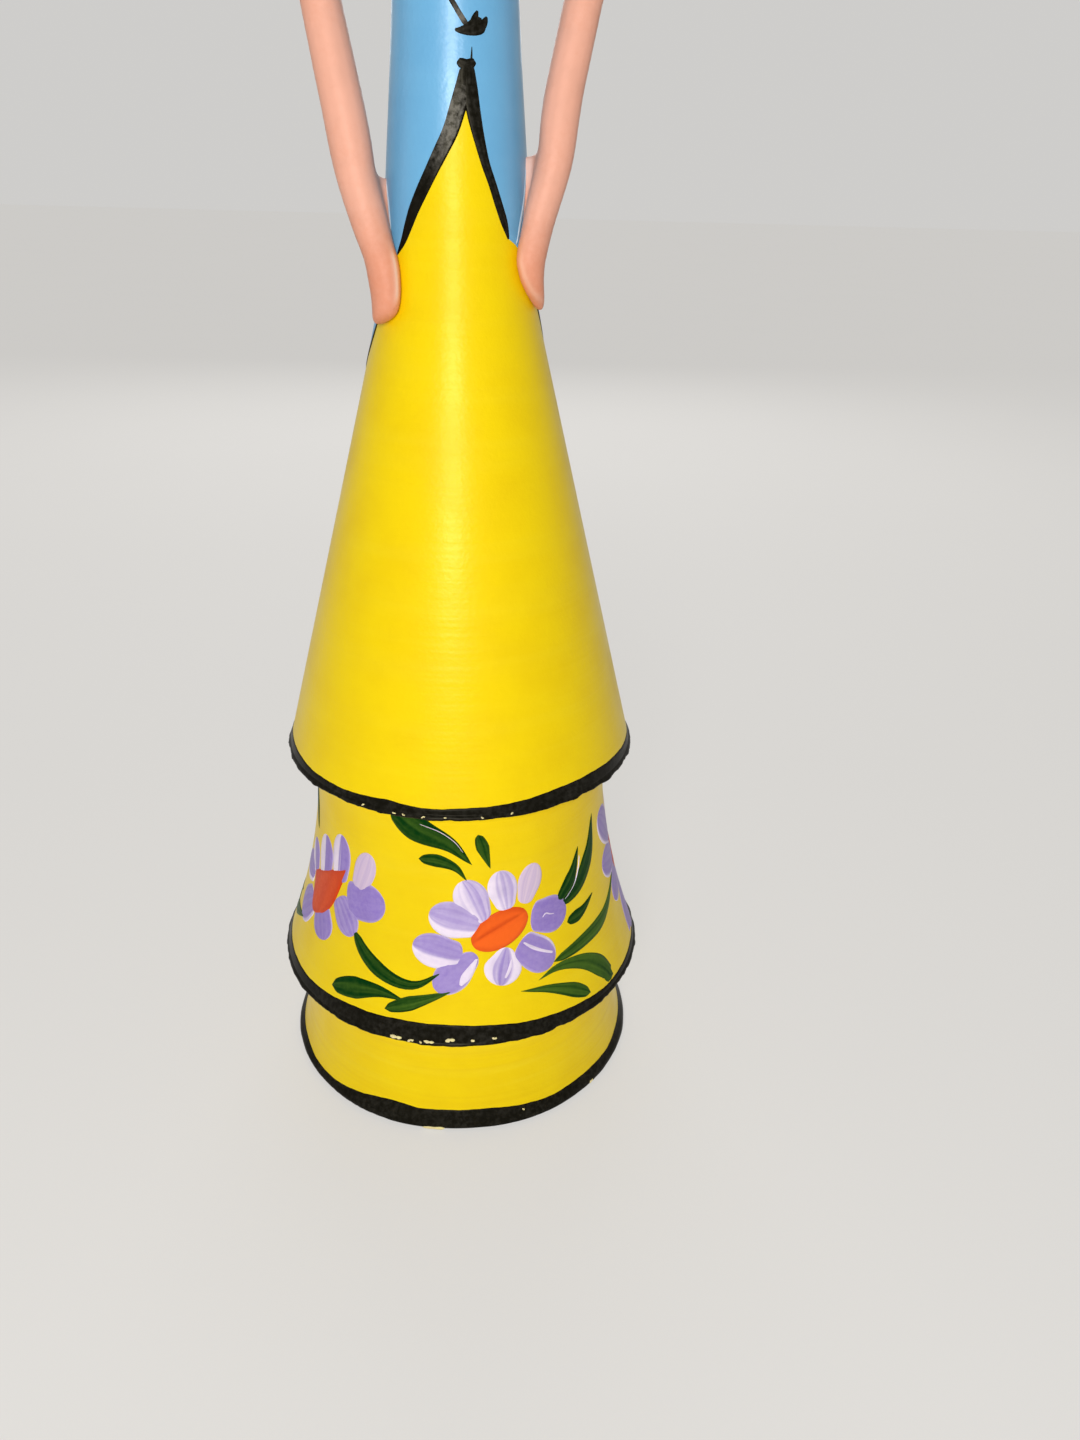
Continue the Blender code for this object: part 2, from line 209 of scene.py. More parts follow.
def refine(profile, step):
    """The profile with smooth curves between its sharp corners, and the corners a little rounded."""
    points = np.array(profile, float)
    runs = np.diff(points, axis=0)
    lengths = np.linalg.norm(runs, axis=1)
    ways = runs / lengths[:, None]
    fine = [points[:1]]
    for i in range(len(runs)):
        ends = []
        for other in (i - 1, i + 1):
            way = ways[i]
            if 0 <= other < len(ways) and ways[i] @ ways[other] > SHARP_CORNER:
                way = runs[i] + runs[other]
                way = way / np.linalg.norm(way)
            ends.append(way * lengths[i])
        count = max(2, math.ceil(lengths[i] / step))
        fine.append(bridge(even(count + 1)[1:, None], points[i], ends[0], points[i + 1], ends[1]))
    fine = np.concatenate(fine)
    inner = np.empty((2 * (len(fine) - 1), 2))
    inner[0::2] = (1.0 - ROUNDING) * fine[:-1] + ROUNDING * fine[1:]
    inner[1::2] = ROUNDING * fine[:-1] + (1.0 - ROUNDING) * fine[1:]
    return np.concatenate([fine[:1], inner, fine[-1:]])


class Tier:
    """One turned surface on which paint is laid, as radius by height."""

    def __init__(self, profile, low, high, matrix=None):
        rows = sorted((height, radius) for radius, height in profile if low <= height <= high)
        self.heights, self.radii = np.array(rows).T
        self.matrix = matrix

    def radius(self, height):
        return np.interp(height, self.heights, self.radii)

    def place(self, angle, height, lift):
        """Points lifted off the surface."""
        step = self.radius(height + SLOPE_REACH) - self.radius(height - SLOPE_REACH)
        slope = step / (2 * SLOPE_REACH)
        length = np.hypot(1.0, slope)
        out = self.radius(height) + lift / length
        points = around(np.radians(angle), out, height - lift * slope / length)
        if self.matrix is None:
            return points
        matrix = np.array(self.matrix)
        return points @ matrix[:3, :3].T + matrix[:3, 3] / MM


# Pieces made of mesh

def placed(name, data):
    """A new object in the scene."""
    made = bpy.data.objects.new(name, data)
    bpy.context.scene.collection.objects.link(made)
    return made


def add_piece(name, mesh, material, body):
    """A piece of the doll that rides on a body. The material may be a list."""
    mesh.shade_smooth()
    for each in material if isinstance(material, list) else [material]:
        mesh.materials.append(each)
    piece = placed(name, mesh)
    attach(piece, body)
    return piece


def set_tone(mesh, tones):
    """Keeps the tone that the materials read, for each point."""
    attribute = mesh.attributes.new("tone", "FLOAT", "POINT")
    attribute.data.foreach_set("value", np.array(tones, np.float32))


def mesh_from(name, points, faces, tones):
    """A mesh from points in millimetres, with its faces turned outward."""
    mesh = bpy.data.meshes.new(name)
    mesh.from_pydata([tuple(point) for point in np.array(points) * MM], [], faces)
    shell = bmesh.new()
    shell.from_mesh(mesh)
    bmesh.ops.recalc_face_normals(shell, faces=shell.faces)
    shell.to_mesh(mesh)
    shell.free()
    set_tone(mesh, tones)
    return mesh


def quads(*corners):
    """Faces from four grids of corner numbers."""
    return np.stack(corners, -1).reshape(-1, 4).tolist()


class Skin:
    """Paint laid on turned surfaces as thin closed skins, gathered into one mesh."""

    def __init__(self):
        self.points = []
        self.faces = []
        self.tones = []

    def lay(self, tier, angle, height, lift, tone):
        """One patch of paint, given as grids, whose rim goes down into the surface."""
        grid = np.arange(angle.size).reshape(angle.shape)
        rim = np.concatenate([grid[0], grid[1:, -1], grid[-1, -2::-1], grid[-2:0:-1, 0]])
        index = len(self.points) + grid
        edge = len(self.points) + rim
        under = len(self.points) + grid.size + np.arange(len(rim))
        tone = np.broadcast_to(tone, angle.shape).ravel()
        self.points.extend(tier.place(angle, height, lift).reshape(-1, 3))
        self.points.extend(tier.place(angle.ravel()[rim], height.ravel()[rim], -SINK))
        self.tones.extend([*tone, *tone[rim]])
        self.faces += quads(index[:-1, :-1], index[:-1, 1:], index[1:, 1:], index[1:, :-1])
        self.faces += quads(np.roll(edge, -1), edge, under, np.roll(under, -1))
        self.faces.append(under.tolist())

    def wrap(self, outer, inner, tone):
        """A skin that goes all the way round, given as grids of points by angle and row."""
        here = len(self.points) + np.arange(outer[..., 0].size).reshape(outer.shape[:2])
        there = np.roll(here, -1, 0)
        under = here + here.size
        beyond = there + here.size
        tone = np.broadcast_to(tone, here.shape).ravel()
        self.points.extend([*outer.reshape(-1, 3), *inner.reshape(-1, 3)])
        self.tones.extend([*tone, *tone])
        self.faces += quads(here[:, :-1], there[:, :-1], there[:, 1:], here[:, 1:])
        self.faces += quads(under[:, 1:], beyond[:, 1:], beyond[:, :-1], under[:, :-1])
        self.faces += quads(there[:, 0], here[:, 0], under[:, 0], beyond[:, 0])
        self.faces += quads(here[:, -1], there[:, -1], beyond[:, -1], under[:, -1])

    def stroke(self, tier, line, lift, tone, seed=0.0, columns=9, rows=None, rounded=False):
        """A brush stroke along points of angle, height and width.

        The tone is a number, or comes from the share of the length and the side, from -1 to 1.
        """
        line = np.array(line, float)
        reach = np.radians(line[:, 0]) * tier.radius(line[:, 1])
        length = np.hypot(np.diff(reach), np.diff(line[:, 1])).sum()
        rows = rows or int(np.clip(length / ROW_LENGTH, 8, 60))
        along = eased(rows) if rounded else even(rows)
        scale = np.array([ANGLE_SCALE, 1.0, 1.0])
        angle, height, width = (curve_through(line * scale, along) / scale).T[:, :, None]
        radius = tier.radius(height)
        run = np.gradient(np.radians(angle), axis=0) * radius
        rise = np.gradient(height, axis=0)
        size = np.maximum(np.hypot(run, rise), 1e-9)
        across = np.linspace(-1.0, 1.0, columns)
        side = np.maximum(width, LEAST_WIDTH) / 2.0 * across
        angle = angle - np.degrees(rise / size * side / radius)
        height = height + run / size * side
        ends = np.minimum(1.0, np.minimum(along, 1.0 - along) * rows / 2.0)
        ridge = 1.0 + 0.12 * wave(across * 7.0, seed)
        heap = lift * np.sqrt(ends)[:, None] * arch(across ** 2) * ridge
        if callable(tone):
            tone = tone(along[:, None], across)
        self.lay(tier, angle, height, heap, tone)

    def piece(self, name, material, body, slot=None):
        add_piece(name, mesh_from(name, self.points, self.faces, self.tones), material, body)


def lathe(name, profile, steps, tone_of, zone_of=lambda height: 0):
    """A turned mesh from a profile that starts and ends on the axis, with a material for each ring."""
    turn = np.arange(steps) / steps * 2.0 * np.pi
    points = [(0.0, 0.0, profile[0, 1]), (0.0, 0.0, profile[-1, 1])]
    for radius, height in profile[1:-1]:
        points.extend(around(turn, radius, height))
    here = np.arange(2, len(points)).reshape(-1, steps)
    there = np.roll(here, -1, 1)
    faces = [(0, first, second) for first, second in zip(here[0], there[0])]
    faces += quads(here[:-1], here[1:], there[1:], there[:-1])
    faces += [(1, second, first) for first, second in zip(here[-1], there[-1])]
    zones = [0] * steps + [zone_of(height) for height in profile[1:-1, 1] for _ in range(steps)]
    mesh = mesh_from(name, points, faces, tone_of(np.array(points)))
    mesh.polygons.foreach_set("material_index", zones)
    return mesh


def softened(node, voxel, rounds, filler=None):
    """A CAD node's shape as a fine mesh with softened edges, in metres, with filler joined to it."""
    mesh = NODES[node].data.copy()
    if filler:
        shell = bmesh.new()
        shell.from_mesh(mesh)
        shell.from_mesh(filler)
        shell.to_mesh(mesh)
        shell.free()
    helper = placed(node + "_helper", mesh)
    remesh = helper.modifiers.new("Fine", "REMESH")
    remesh.mode = "VOXEL"
    remesh.voxel_size = voxel
    soften = helper.modifiers.new("Soften", "SMOOTH")
    soften.factor = 0.5
    soften.iterations = rounds
    bpy.context.view_layer.update()
    graph = bpy.context.evaluated_depsgraph_get()
    mesh = bpy.data.meshes.new_from_object(helper.evaluated_get(graph))
    bpy.data.objects.remove(helper, do_unlink=True)
    mesh.materials.clear()
    return mesh


def corners_of(mesh):
    """The mesh's points in millimetres."""
    places = np.empty(len(mesh.vertices) * 3)
    mesh.vertices.foreach_get("co", places)
    return places.reshape(-1, 3) / MM


def move_corners(mesh, places):
    mesh.vertices.foreach_set("co", (places * MM).ravel())


# Materials

def add_node(tree, kind, output, inputs, **settings):
    """One output of a new node, with its inputs set to values or linked to other outputs."""
    node = tree.nodes.new("ShaderNode" + kind)
    for name, value in settings.items():
        setattr(node, name, value)
    for name, value in inputs.items():
        feed(tree, node.inputs[name], value)
    return node.outputs[output]


def feed(tree, target, source):
    if isinstance(source, bpy.types.NodeSocket):
        tree.links.new(source, target)
    elif target.type == "RGBA":
        target.default_value = (*source, 1.0)
    else:
        target.default_value = source


class Look:
    """One procedural material, with short ways to add its nodes."""

    def __init__(self, name, roughness=0.4, sheen=0.22):
        self.material = bpy.data.materials.new(name)
        self.material.use_nodes = True
        self.tree = self.material.node_tree
        self.shader = self.tree.nodes["Principled BSDF"]
        self.shader.inputs["Roughness"].default_value = roughness
        self.shader.inputs["Specular IOR Level"].default_value = sheen
        self.coordinates = self.node("TexCoord", "Object", {})

    def node(self, kind, output, inputs, **settings):
        return add_node(self.tree, kind, output, inputs, **settings)

    def noise(self, scale, stretch=(1.0, 1.0, 1.0), detail=2.0, rough=0.5):
        place = self.node("Mapping", "Vector", {"Vector": self.coordinates, "Scale": stretch})
        inputs = {"Vector": place, "Scale": scale, "Detail": detail, "Roughness": rough}
        return self.node("TexNoise", "Fac", inputs)

    def tone(self):
        return self.node("Attribute", "Fac", {}, attribute_name="tone")

    def between(self, value, low, high, start=0.0, end=1.0):
        inputs = {"Value": value, "From Min": low, "From Max": high, "To Min": start, "To Max": end}
        return self.node("MapRange", "Result", inputs)

    def math(self, kind, first, second):
        return self.node("Math", "Value", {0: first, 1: second}, operation=kind)

    def mix(self, share, first, second):
        """A mix of two colours."""
        return self.node("Mix", 2, {0: share, 6: first, 7: second}, data_type="RGBA")

    def bump(self, height, depth, below=None):
        inputs = {"Strength": 1.0, "Distance": depth * MM, "Height": height}
        if below:
            inputs["Normal"] = below
        return self.node("Bump", "Normal", inputs)

    def tint(self, colour, share=0.65):
        """Gives the reflections some of the paint's own colour."""
        tint = [1.0 - share + share * part / max(colour) for part in colour]
        self.shader.inputs["Specular Tint"].default_value = (*tint, 1.0)

    def finish(self, colour, roughness=None, normal=None):
        for name, source in (("Base Color", colour), ("Roughness", roughness), ("Normal", normal)):
            if source is not None:
                feed(self.tree, self.shader.inputs[name], source)
        return self.material


# Scales of the noises, and depths of the bumps
RING_SCALE = 1100.0
BRUSH_SCALE = 330.0
MOTTLE_SCALE = 140.0
PIT_SCALE = 1500.0
SPECK_SCALE = 1300.0
PATCH_SCALE = 260.0
GRAIN_SCALE = 900.0
FIGURE_SCALE = 220.0
PIT_DEPTH = 0.032
SPECK_DEPTH = 0.018
PATCH_DEPTH = 0.03
GRAIN_DEPTH = 0.03


def turned_paint(name, colour, deep, pale, ring_depth, sheen=0.22, tint=0.65):
    """Satin paint brushed on turned wood: faint rings, a little mottling and fine pits."""
    look = Look(name, sheen=sheen)
    look.tint(colour, tint)
    tone = look.tone()
    rings = look.noise(RING_SCALE, (0.02, 0.02, 1.0), detail=1.0)
    brushed = look.noise(BRUSH_SCALE, (0.05, 0.05, 1.0), detail=3.0, rough=0.6)
    mottle = look.noise(MOTTLE_SCALE, detail=3.0)
    base = look.mix(look.between(mottle, 0.40, 0.85, 0.0, 0.5), colour, deep)
    streak_share = look.between(tone, 0.0, 1.0, 0.12, 0.5)
    streaks = look.math("MULTIPLY", look.between(brushed, 0.50, 0.80), streak_share)
    base = look.mix(streaks, base, pale)
    ring_share = look.math("MULTIPLY", look.between(rings, 0.50, 0.80), tone)
    base = look.mix(look.math("MULTIPLY", ring_share, 0.4), base, deep)
    gloss = look.between(mottle, 0.3, 0.7, 0.31, 0.39)
    raised = look.math("MULTIPLY", rings, look.between(tone, 0.0, 1.0, 0.8, 1.0))
    normal = look.bump(look.noise(PIT_SCALE), PIT_DEPTH, look.bump(raised, ring_depth))
    return look.finish(base, gloss, normal)


def stroke_paint(name, colour, other, speckle=0.35, roughness=0.38, sheen=0.22, pale=None, dry=0.0):
    """Brushed paint that goes from one colour to another by the tone, and below zero to the pale one."""
    look = Look(name, sheen=sheen)
    look.tint(colour)
    tone = look.tone()
    fine = look.noise(SPECK_SCALE, detail=3.0, rough=0.65)
    broad = look.noise(PATCH_SCALE)
    share = look.math("MULTIPLY", tone, look.between(fine, 0.35, 0.65, 1.0 - dry, 1.0 + dry))
    share = look.math("ADD", share, look.between(fine, 0.3, 0.7, -speckle / 2, speckle / 2))
    base = look.mix(look.between(share, 0.0, 1.0), colour, other)
    shade = tuple(0.72 * part for part in colour)
    base = look.mix(look.between(broad, 0.45, 0.8, 0.0, 0.25), base, shade)
    if pale:
        base = look.mix(look.between(tone, -1.0, -0.1, 1.0, 0.0), base, pale)
    gloss = look.between(fine, 0.25, 0.75, roughness - 0.06, roughness + 0.1)
    normal = look.bump(broad, PATCH_DEPTH, look.bump(fine, SPECK_DEPTH))
    return look.finish(base, gloss, normal)


def bare_wood(name):
    look = Look(name)
    grain = look.noise(GRAIN_SCALE, (1.0, 1.0, 0.06), detail=4.0, rough=0.6)
    broad = look.noise(FIGURE_SCALE, (1.0, 1.0, 0.1))
    base = look.mix(look.between(grain, 0.35, 0.7), WOOD, WOOD_DARK)
    base = look.mix(look.between(broad, 0.4, 0.8, 0.0, 0.4), base, CREAM)
    gloss = look.between(grain, 0.3, 0.7, 0.55, 0.75)
    return look.finish(base, gloss, look.bump(grain, GRAIN_DEPTH))


YELLOW_PAINT = turned_paint("yellow_paint", YELLOW, YELLOW_DEEP, YELLOW_PALE, 0.055, sheen=0.31)
BLUE_PAINT = turned_paint("blue_paint", BLUE, BLUE_DEEP, BLUE_PALE, 0.018, sheen=0.62, tint=0.2)
WHITE_PAINT = turned_paint("white_paint", WHITE, WHITE_SHADE, WHITE_BRIGHT, 0.012)
BLACK_PAINT = stroke_paint("black_paint", BLACK, BLACK_DRY_AND_GLARE, 0.06, 0.33, sheen=0.08, dry=0.9)
SKIN_PAINT = stroke_paint("skin_paint", SKIN, SKIN_DEEP, 0.2, 0.42, pale=SKIN_PALE)
PETAL_PAINT = stroke_paint("petal_paint", LILAC, LILAC_WHITE, 0.1, pale=LILAC_THIN)
CENTRE_PAINT = stroke_paint("centre_paint", ORANGE, ORANGE_RED, 0.15)
LEAF_PAINT = stroke_paint("leaf_paint", GREEN, GREEN_LIGHT, 0.2, sheen=0.07)
HAIR_PAINT = stroke_paint("hair_paint", BROWN, BROWN_LIGHT)
RED_PAINT = stroke_paint("red_paint", RED, ORANGE_RED)
CHIP_PAINT = stroke_paint("chip_paint", STRAW, CREAM)
BARE_WOOD = bare_wood("bare_wood")


# The turned body

BODY_OUTLINE = meridian("body", 3.5)
BODY_PROFILE = refine([(0.0, NECK_TOP)] + BODY_OUTLINE + [(0.0, BASE)], 1.6)
# The surfaces stop this far from the undersides of the tiers
TIER_GAP = 0.02
SKIRT = Tier(BODY_PROFILE, UPPER_HEM + TIER_GAP, NECK_TOP)
FLOWERED = Tier(BODY_PROFILE, MIDDLE_HEM + TIER_GAP, UPPER_HEM - TIER_GAP)
PLINTH = Tier(BODY_PROFILE, BASE + TIER_GAP, MIDDLE_HEM - TIER_GAP)
BODY_STEPS = 216
SKIN_BELOW_NECK = 2.5


def body_tone(points):
    """How strongly the turning rings show: most on the plinth."""
    height = points[:, 2]
    return np.where(height < MIDDLE_HEM, 1.0, np.where(height < UPPER_HEM, 0.25, 0.1))


def body_zone(height):
    """Yellow paint, but skin on the neck and bare wood underneath."""
    if height > NECK_ROOT - SKIN_BELOW_NECK:
        return 1
    return 2 if height < 0.01 else 0


body_mesh = lathe("turned_body", BODY_PROFILE, BODY_STEPS, body_tone, body_zone)
BODY_PAINTS = [YELLOW_PAINT, SKIN_PAINT, BARE_WOOD]
body = add_piece("turned_body", body_mesh, BODY_PAINTS, "figure")
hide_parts("body")


# Bodice and blouse

# Lower edge of the bodice: the open front, then under the hands and down to a tail at the back
BODICE_EDGE = [
    (-180, 107.0), (-150, 109.0), (-118, 113.5), (-87, 119.5), (-66, 126.6), (-50, 133.2), (-40, 135.9),
    (-28, 140.2), (-13, 144.8), (0, 148.4), (7.8, 150.4), (13, 148.6), (19, 145.2), (26, 141.6), (34, 138.3),
    (41, 135.3), (50, 134.3), (66, 130.0), (87, 124.5), (118, 115.5), (150, 109.0), (180, 107.0),
]
BODICE_TOP = [(-180, 196.0), (-90, 198.0), (-45, 194.5), (0, 189.5), (45, 194.5), (90, 198.0), (180, 196.0)]
# The blouse starts a little under the bodice, and ends in scallops below the neck
BLOUSE_TUCK = 0.3
BLOUSE_DROP = 1.4
SCALLOP = 0.25
SCALLOP_TURNS = 7.0
GARMENT_ROWS = 64
GARMENT_TONE = 0.1


def garment(name, angle, low, high, material, slot, lift):
    """A painted garment round the body between two edges, given as heights for the angles."""
    share = even(GARMENT_ROWS)
    height = low * (1.0 - share) + high * share
    rounded = lift * np.minimum(1.0, np.minimum(share, 1.0 - share) * GARMENT_ROWS)
    skin = Skin()
    skin.wrap(SKIRT.place(angle, height, rounded), SKIRT.place(angle, height, -SINK), GARMENT_TONE)
    skin.piece(name, material, "figure", slot)


angle = full_turn(360)
low = edge_height(BODICE_EDGE, angle)
high = edge_height(BODICE_TOP, angle)
scallops = NECK_ROOT - BLOUSE_DROP + SCALLOP * np.abs(np.sin(np.radians(angle) * SCALLOP_TURNS))
garment("bodice_paint", angle, low, high, BLUE_PAINT, None, FILM)
garment("blouse_paint", angle, high - BLOUSE_TUCK, scallops, WHITE_PAINT, "sleeve_paint", FILM * 0.6)


def dry_patch_and_glare(t, a):
    """A grey half-dry patch on the wide left stroke: partly a dry brush mark, partly painted glare."""
    return 0.95 * bell(t, 0.28, 0.17) * (0.85 + 0.15 * np.sin(8.0 * a + 40.0 * t)) * (a < 0.75)


def dense(t, a):
    """Full paint with faint marks of the bristles."""
    return 0.04 + 0.03 * np.sin(9.0 * a)


# Strokes of the open front, as points, lift, tone, seed and columns: the wide outline, the narrow one,
# the cap where they meet, in three strokes, then the bow's three dabs and its lace
FRONT_STROKES = [
    ([(9.5, 154.3, 1.9), (5.5, 152.0, 2.2), (0.8, 149.9, 2.2), (-5.8, 147.1, 2.1), (-12.6, 145.1, 2.0),
      (-21.2, 142.6, 1.85), (-28.7, 140.4, 1.8), (-36, 138.1, 1.65), (-40.5, 136.3, 1.4),
      (-45, 134.5, 0.95), (-51, 132.9, 0.25)], 0.1, dry_patch_and_glare, 1.0, 15),
    ([(9.0, 154.3, 1.9), (11.5, 151.8, 2.1), (14.6, 149.0, 1.9), (19.0, 146.0, 1.5), (23.3, 143.6, 1.25),
      (28.4, 141.5, 1.2), (34, 139.0, 1.25), (38.5, 137.0, 1.15), (41.8, 135.1, 0.3)], 0.115, dense, 2.0, 11),
    ([(0.0, 154.9, 0.5), (3.5, 154.5, 1.3), (9, 154.3, 1.4), (13, 154.5, 1.3), (17.0, 154.9, 0.5)],
     0.125, dense, 3.0, 9),
    ([(8.6, 155.0, 1.0), (8.8, 153.4, 2.1), (8.6, 151.6, 1.6)], 0.12, dense, 3.0, 9),
    ([(12.3, 154.6, 0.5), (12.9, 155.5, 0.3), (13.2, 156.4, 0.1)], 0.11, dense, 4.0, 5),
    ([(-3.0, 157.9, 0.15), (3, 157.8, 0.8), (9, 157.9, 1.5), (16, 158.2, 2.2), (22, 158.5, 2.1),
      (26, 158.8, 1.0)], 0.11, dense, 5.0, 9),
    ([(13, 158.2, 1.0), (16.5, 159.2, 1.0), (19.3, 160.1, 0.15)], 0.12, dense, 6.0, 7),
    ([(22, 158.2, 1.3), (25.5, 158.9, 1.0), (27.8, 159.5, 0.15)], 0.125, dense, 7.0, 7),
    ([(10, 158.2, 0.9), (4, 159.3, 0.85), (-3, 160.7, 0.8), (-13, 162.4, 0.7)], 0.1, dry_patch_and_glare, 8.0, 7),
]
# The lacing: heights of its crossings, angles of its two sides and middle, and angles of its eyelets
LACE_LEVELS = [162.4, 168.4, 174.2, 180.0, 185.6]
LACE_RIGHT, LACE_MIDDLE, LACE_LEFT = -13, 3.5, 20
EYELETS = (-14.5, 21.5)
EYELET_HALF = 3.0
# The outline of the tail at the back starts and ends under the hands
TAIL_START = 66
NECKLINE_WIDTH = 0.55

outlines = Skin()
for stroke in FRONT_STROKES:
    outlines.stroke(SKIRT, *stroke)
for i, (low, high) in enumerate(zip(LACE_LEVELS, LACE_LEVELS[1:])):
    crossing = (LACE_MIDDLE, (low + high) / 2, 0.65)
    rising = [(LACE_RIGHT, low, 0.75), crossing, (LACE_LEFT, high, 0.7)]
    falling = [(LACE_LEFT, low, 0.7), crossing, (LACE_RIGHT, high, 0.75)]
    outlines.stroke(SKIRT, rising, 0.09, dense, i, 7)
    outlines.stroke(SKIRT, falling, 0.105, dense, i + 5, 7)
for level in LACE_LEVELS:
    for angle in EYELETS:
        eyelet = [(angle + EYELET_HALF * k, level, 0.9 - 0.4 * abs(k)) for k in (-1, 0, 1)]
        outlines.stroke(SKIRT, eyelet, 0.12, dense)
tail = [(angle, height, 1.0) for angle, height in BODICE_EDGE if angle >= TAIL_START]
tail += [(angle + 360, height, 1.0) for angle, height in BODICE_EDGE if -180 < angle <= -TAIL_START]
outlines.stroke(SKIRT, tapered(tail), 0.1, dense, 2.5, 9, 160)
neckline = [(-184, 196.0)] + BODICE_TOP + [(184, 196.0)]
neckline = [(angle, height, NECKLINE_WIDTH) for angle, height in neckline]
outlines.stroke(SKIRT, neckline, 0.13, dense, 3.5, 7, 160)
outlines.piece("bodice_outlines", BLACK_PAINT, "figure")


# Hem bands

BAND_FILM = 0.09
BAND_COLUMNS = 480
BAND_ROWS = 29
BAND_RISE = 0.3
# How far a band reaches under its hem and up its side, and how far its bead of paint sags
HEM_REACH = 1.5
HEM_CLIMB = 7.0
HEM_SAG = 0.55
# How far the foot's band reaches in, and how far it bulges
FOOT_REACH = 0.55
FOOT_BULGE = 0.5
PATH_STEP = 0.05
# Upper edges of the bands: (angle, height)
UPPER_BAND = [
    (-180, 61.2), (-90, 61.3), (-72, 61.3), (-57, 60.9), (-30, 60.95), (-23, 61.2), (-17, 60.85), (5, 60.95),
    (16, 61.1), (26, 61.5), (38, 61.75), (51, 61.7), (65, 61.4), (85, 60.9), (180, 61.2),
]
MIDDLE_BAND = [
    (-180, 21.5), (-90, 21.6), (-50, 21.7), (-40, 22.15), (-30, 22.4), (-18, 22.65), (5, 22.45), (17, 21.9),
    (26, 21.55), (36, 21.25), (45, 20.85), (52, 20.65), (67, 20.8), (90, 21.0), (130, 22.0), (180, 21.5),
]
BASE_BAND = [
    (-180, 2.2), (-120, 2.6), (-90, 1.8), (-72, 1.7), (-58, 1.3), (-47, 1.65), (-38, 2.3), (-29, 3.2),
    (-22, 3.45), (-15, 3.2), (-5, 3.35), (10, 3.2), (20, 2.6), (27, 2.3), (47, 2.3), (61, 2.0), (73, 2.3),
    (120, 2.4), (180, 2.2),
]


def hem_run(hem, reach_in):
    """The path from under a hem round its edge and up, with the length so far and the direction."""
    radius, height = BODY_PROFILE.T
    near = (height >= hem - 0.001) & (height <= hem + HEM_CLIMB)
    edge = radius[near].max()
    path = BODY_PROFILE[near & ((radius > edge - reach_in) | (height > hem + 0.7))][::-1]
    run = np.concatenate([[0.0], np.cumsum(np.linalg.norm(np.diff(path, axis=0), axis=1))])
    arc = np.arange(0.0, run[-1], PATH_STEP)
    path = np.stack([np.interp(arc, run, column) for column in path.T], -1)
    way = np.gradient(path, arc, axis=0)
    ease = np.ones(7) / 7.0
    way = np.stack([np.convolve(np.pad(column, 3, "edge"), ease, "valid") for column in way.T], -1)
    return path, arc, way / np.linalg.norm(way, axis=1)[:, None]


def band_skin(skin, hem, table, seed, reach_in, sag, bulge):
    """A band round a hem, with a lumpy bead of paint below the edge, or a bulge on its side."""
    path, arc, way = hem_run(hem, reach_in)
    angle = full_turn(BAND_COLUMNS)
    turn = np.radians(angle)
    top = edge_height(table, angle) + BAND_RISE + 0.06 * wave(turn * 23.0, seed)
    top = np.interp(top, path[:, 1], arc)
    low = 0.15 + 0.12 * wave(turn * 9.0, seed)
    share = even(BAND_ROWS) ** 1.5
    at = low * (1.0 - share) + top * share
    edge = BAND_FILM * np.sqrt(np.clip(np.minimum(share, 1.0 - share) * 6.0, 0.0, 1.0))
    down = np.clip(2.0 * np.interp(at, arc, way[:, 0]), 0.0, 1.0)
    drips = wave(turn * 40.0, seed) * (1.0 + wave(turn * 10.0, seed))
    lumps = 1.0 + 0.25 * wave(turn * 13.0 + 2.0 * wave(turn * 5.0, seed), seed) + 0.13 * drips
    lumps = sag * lumps * ramp(share, 0.0, 0.2)
    worn_front = 1.0 - 0.8 * bell(angle, -2.0, 13.0)
    heap = bulge * worn_front * (1.0 + 0.15 * wave(turn * 7.0, seed)) * smooth((1.0 - share) * 1.6)
    lift = edge + lumps * down + heap * (1.0 - down)

    def shell(depth):
        radius = np.interp(at, arc, path[:, 0]) + depth * np.interp(at, arc, way[:, 1])
        height = np.interp(at, arc, path[:, 1]) - depth * np.interp(at, arc, way[:, 0])
        return around(turn, radius, np.maximum(height, 0.0))

    skin.wrap(shell(lift), shell(-SINK), 0.03 + 0.02 * wave(turn * 14.0, seed + 2.0))


bands = Skin()
band_skin(bands, UPPER_HEM, UPPER_BAND, 1.0, HEM_REACH, HEM_SAG, 0.0)
band_skin(bands, MIDDLE_HEM, MIDDLE_BAND, 2.0, HEM_REACH, HEM_SAG, 0.0)
band_skin(bands, BASE, BASE_BAND, 3.0, FOOT_REACH, 0.0, FOOT_BULGE)
bands.piece("hem_bands", BLACK_PAINT, "figure")


# Flowers of the middle tier: strokes in millimetres from the flower's centre, to the right and up

# Petals: base, tip, width, share of white on the left side (below zero: on both sides), softness of
# the white's edge, how broad the base is, and how pale the lilac is (below zero: thin over the yellow)
PETALS = [
    ((-2.6, 1.5), (-5.6, 8.6), 5.4, 0.42, 0.9, 0.62, 0.2),
    ((1.2, 3.0), (0.2, 9.8), 4.8, 0.36, 1.0, 0.62, 0.32),
    ((4.1, 3.4), (6.1, 9.8), 4.1, 0.0, 1.0, 0.62, -0.8),
    ((5.2, 0.9), (12.1, -0.5), 6.2, 0.0, 0.1, 0.8, 0.0),
    ((3.0, -3.0), (9.0, -7.9), 5.9, 0.04, 0.1, 0.85, 0.05),
    ((0.9, -3.2), (-0.5, -9.2), 6.2, -0.28, 0.6, 0.4, 0.08),
    ((-4.0, -3.7), (-10.8, -9.5), 5.4, 0.02, 0.1, 0.5, 0.08),
    ((-6.2, -4.0), (-13.9, -2.4), 5.6, 0.34, 0.2, 0.8, 0.1),
    ((-3.2, 0.9), (-10.9, 3.1), 6.0, 0.3, 0.34, 0.66, 0.22),
]
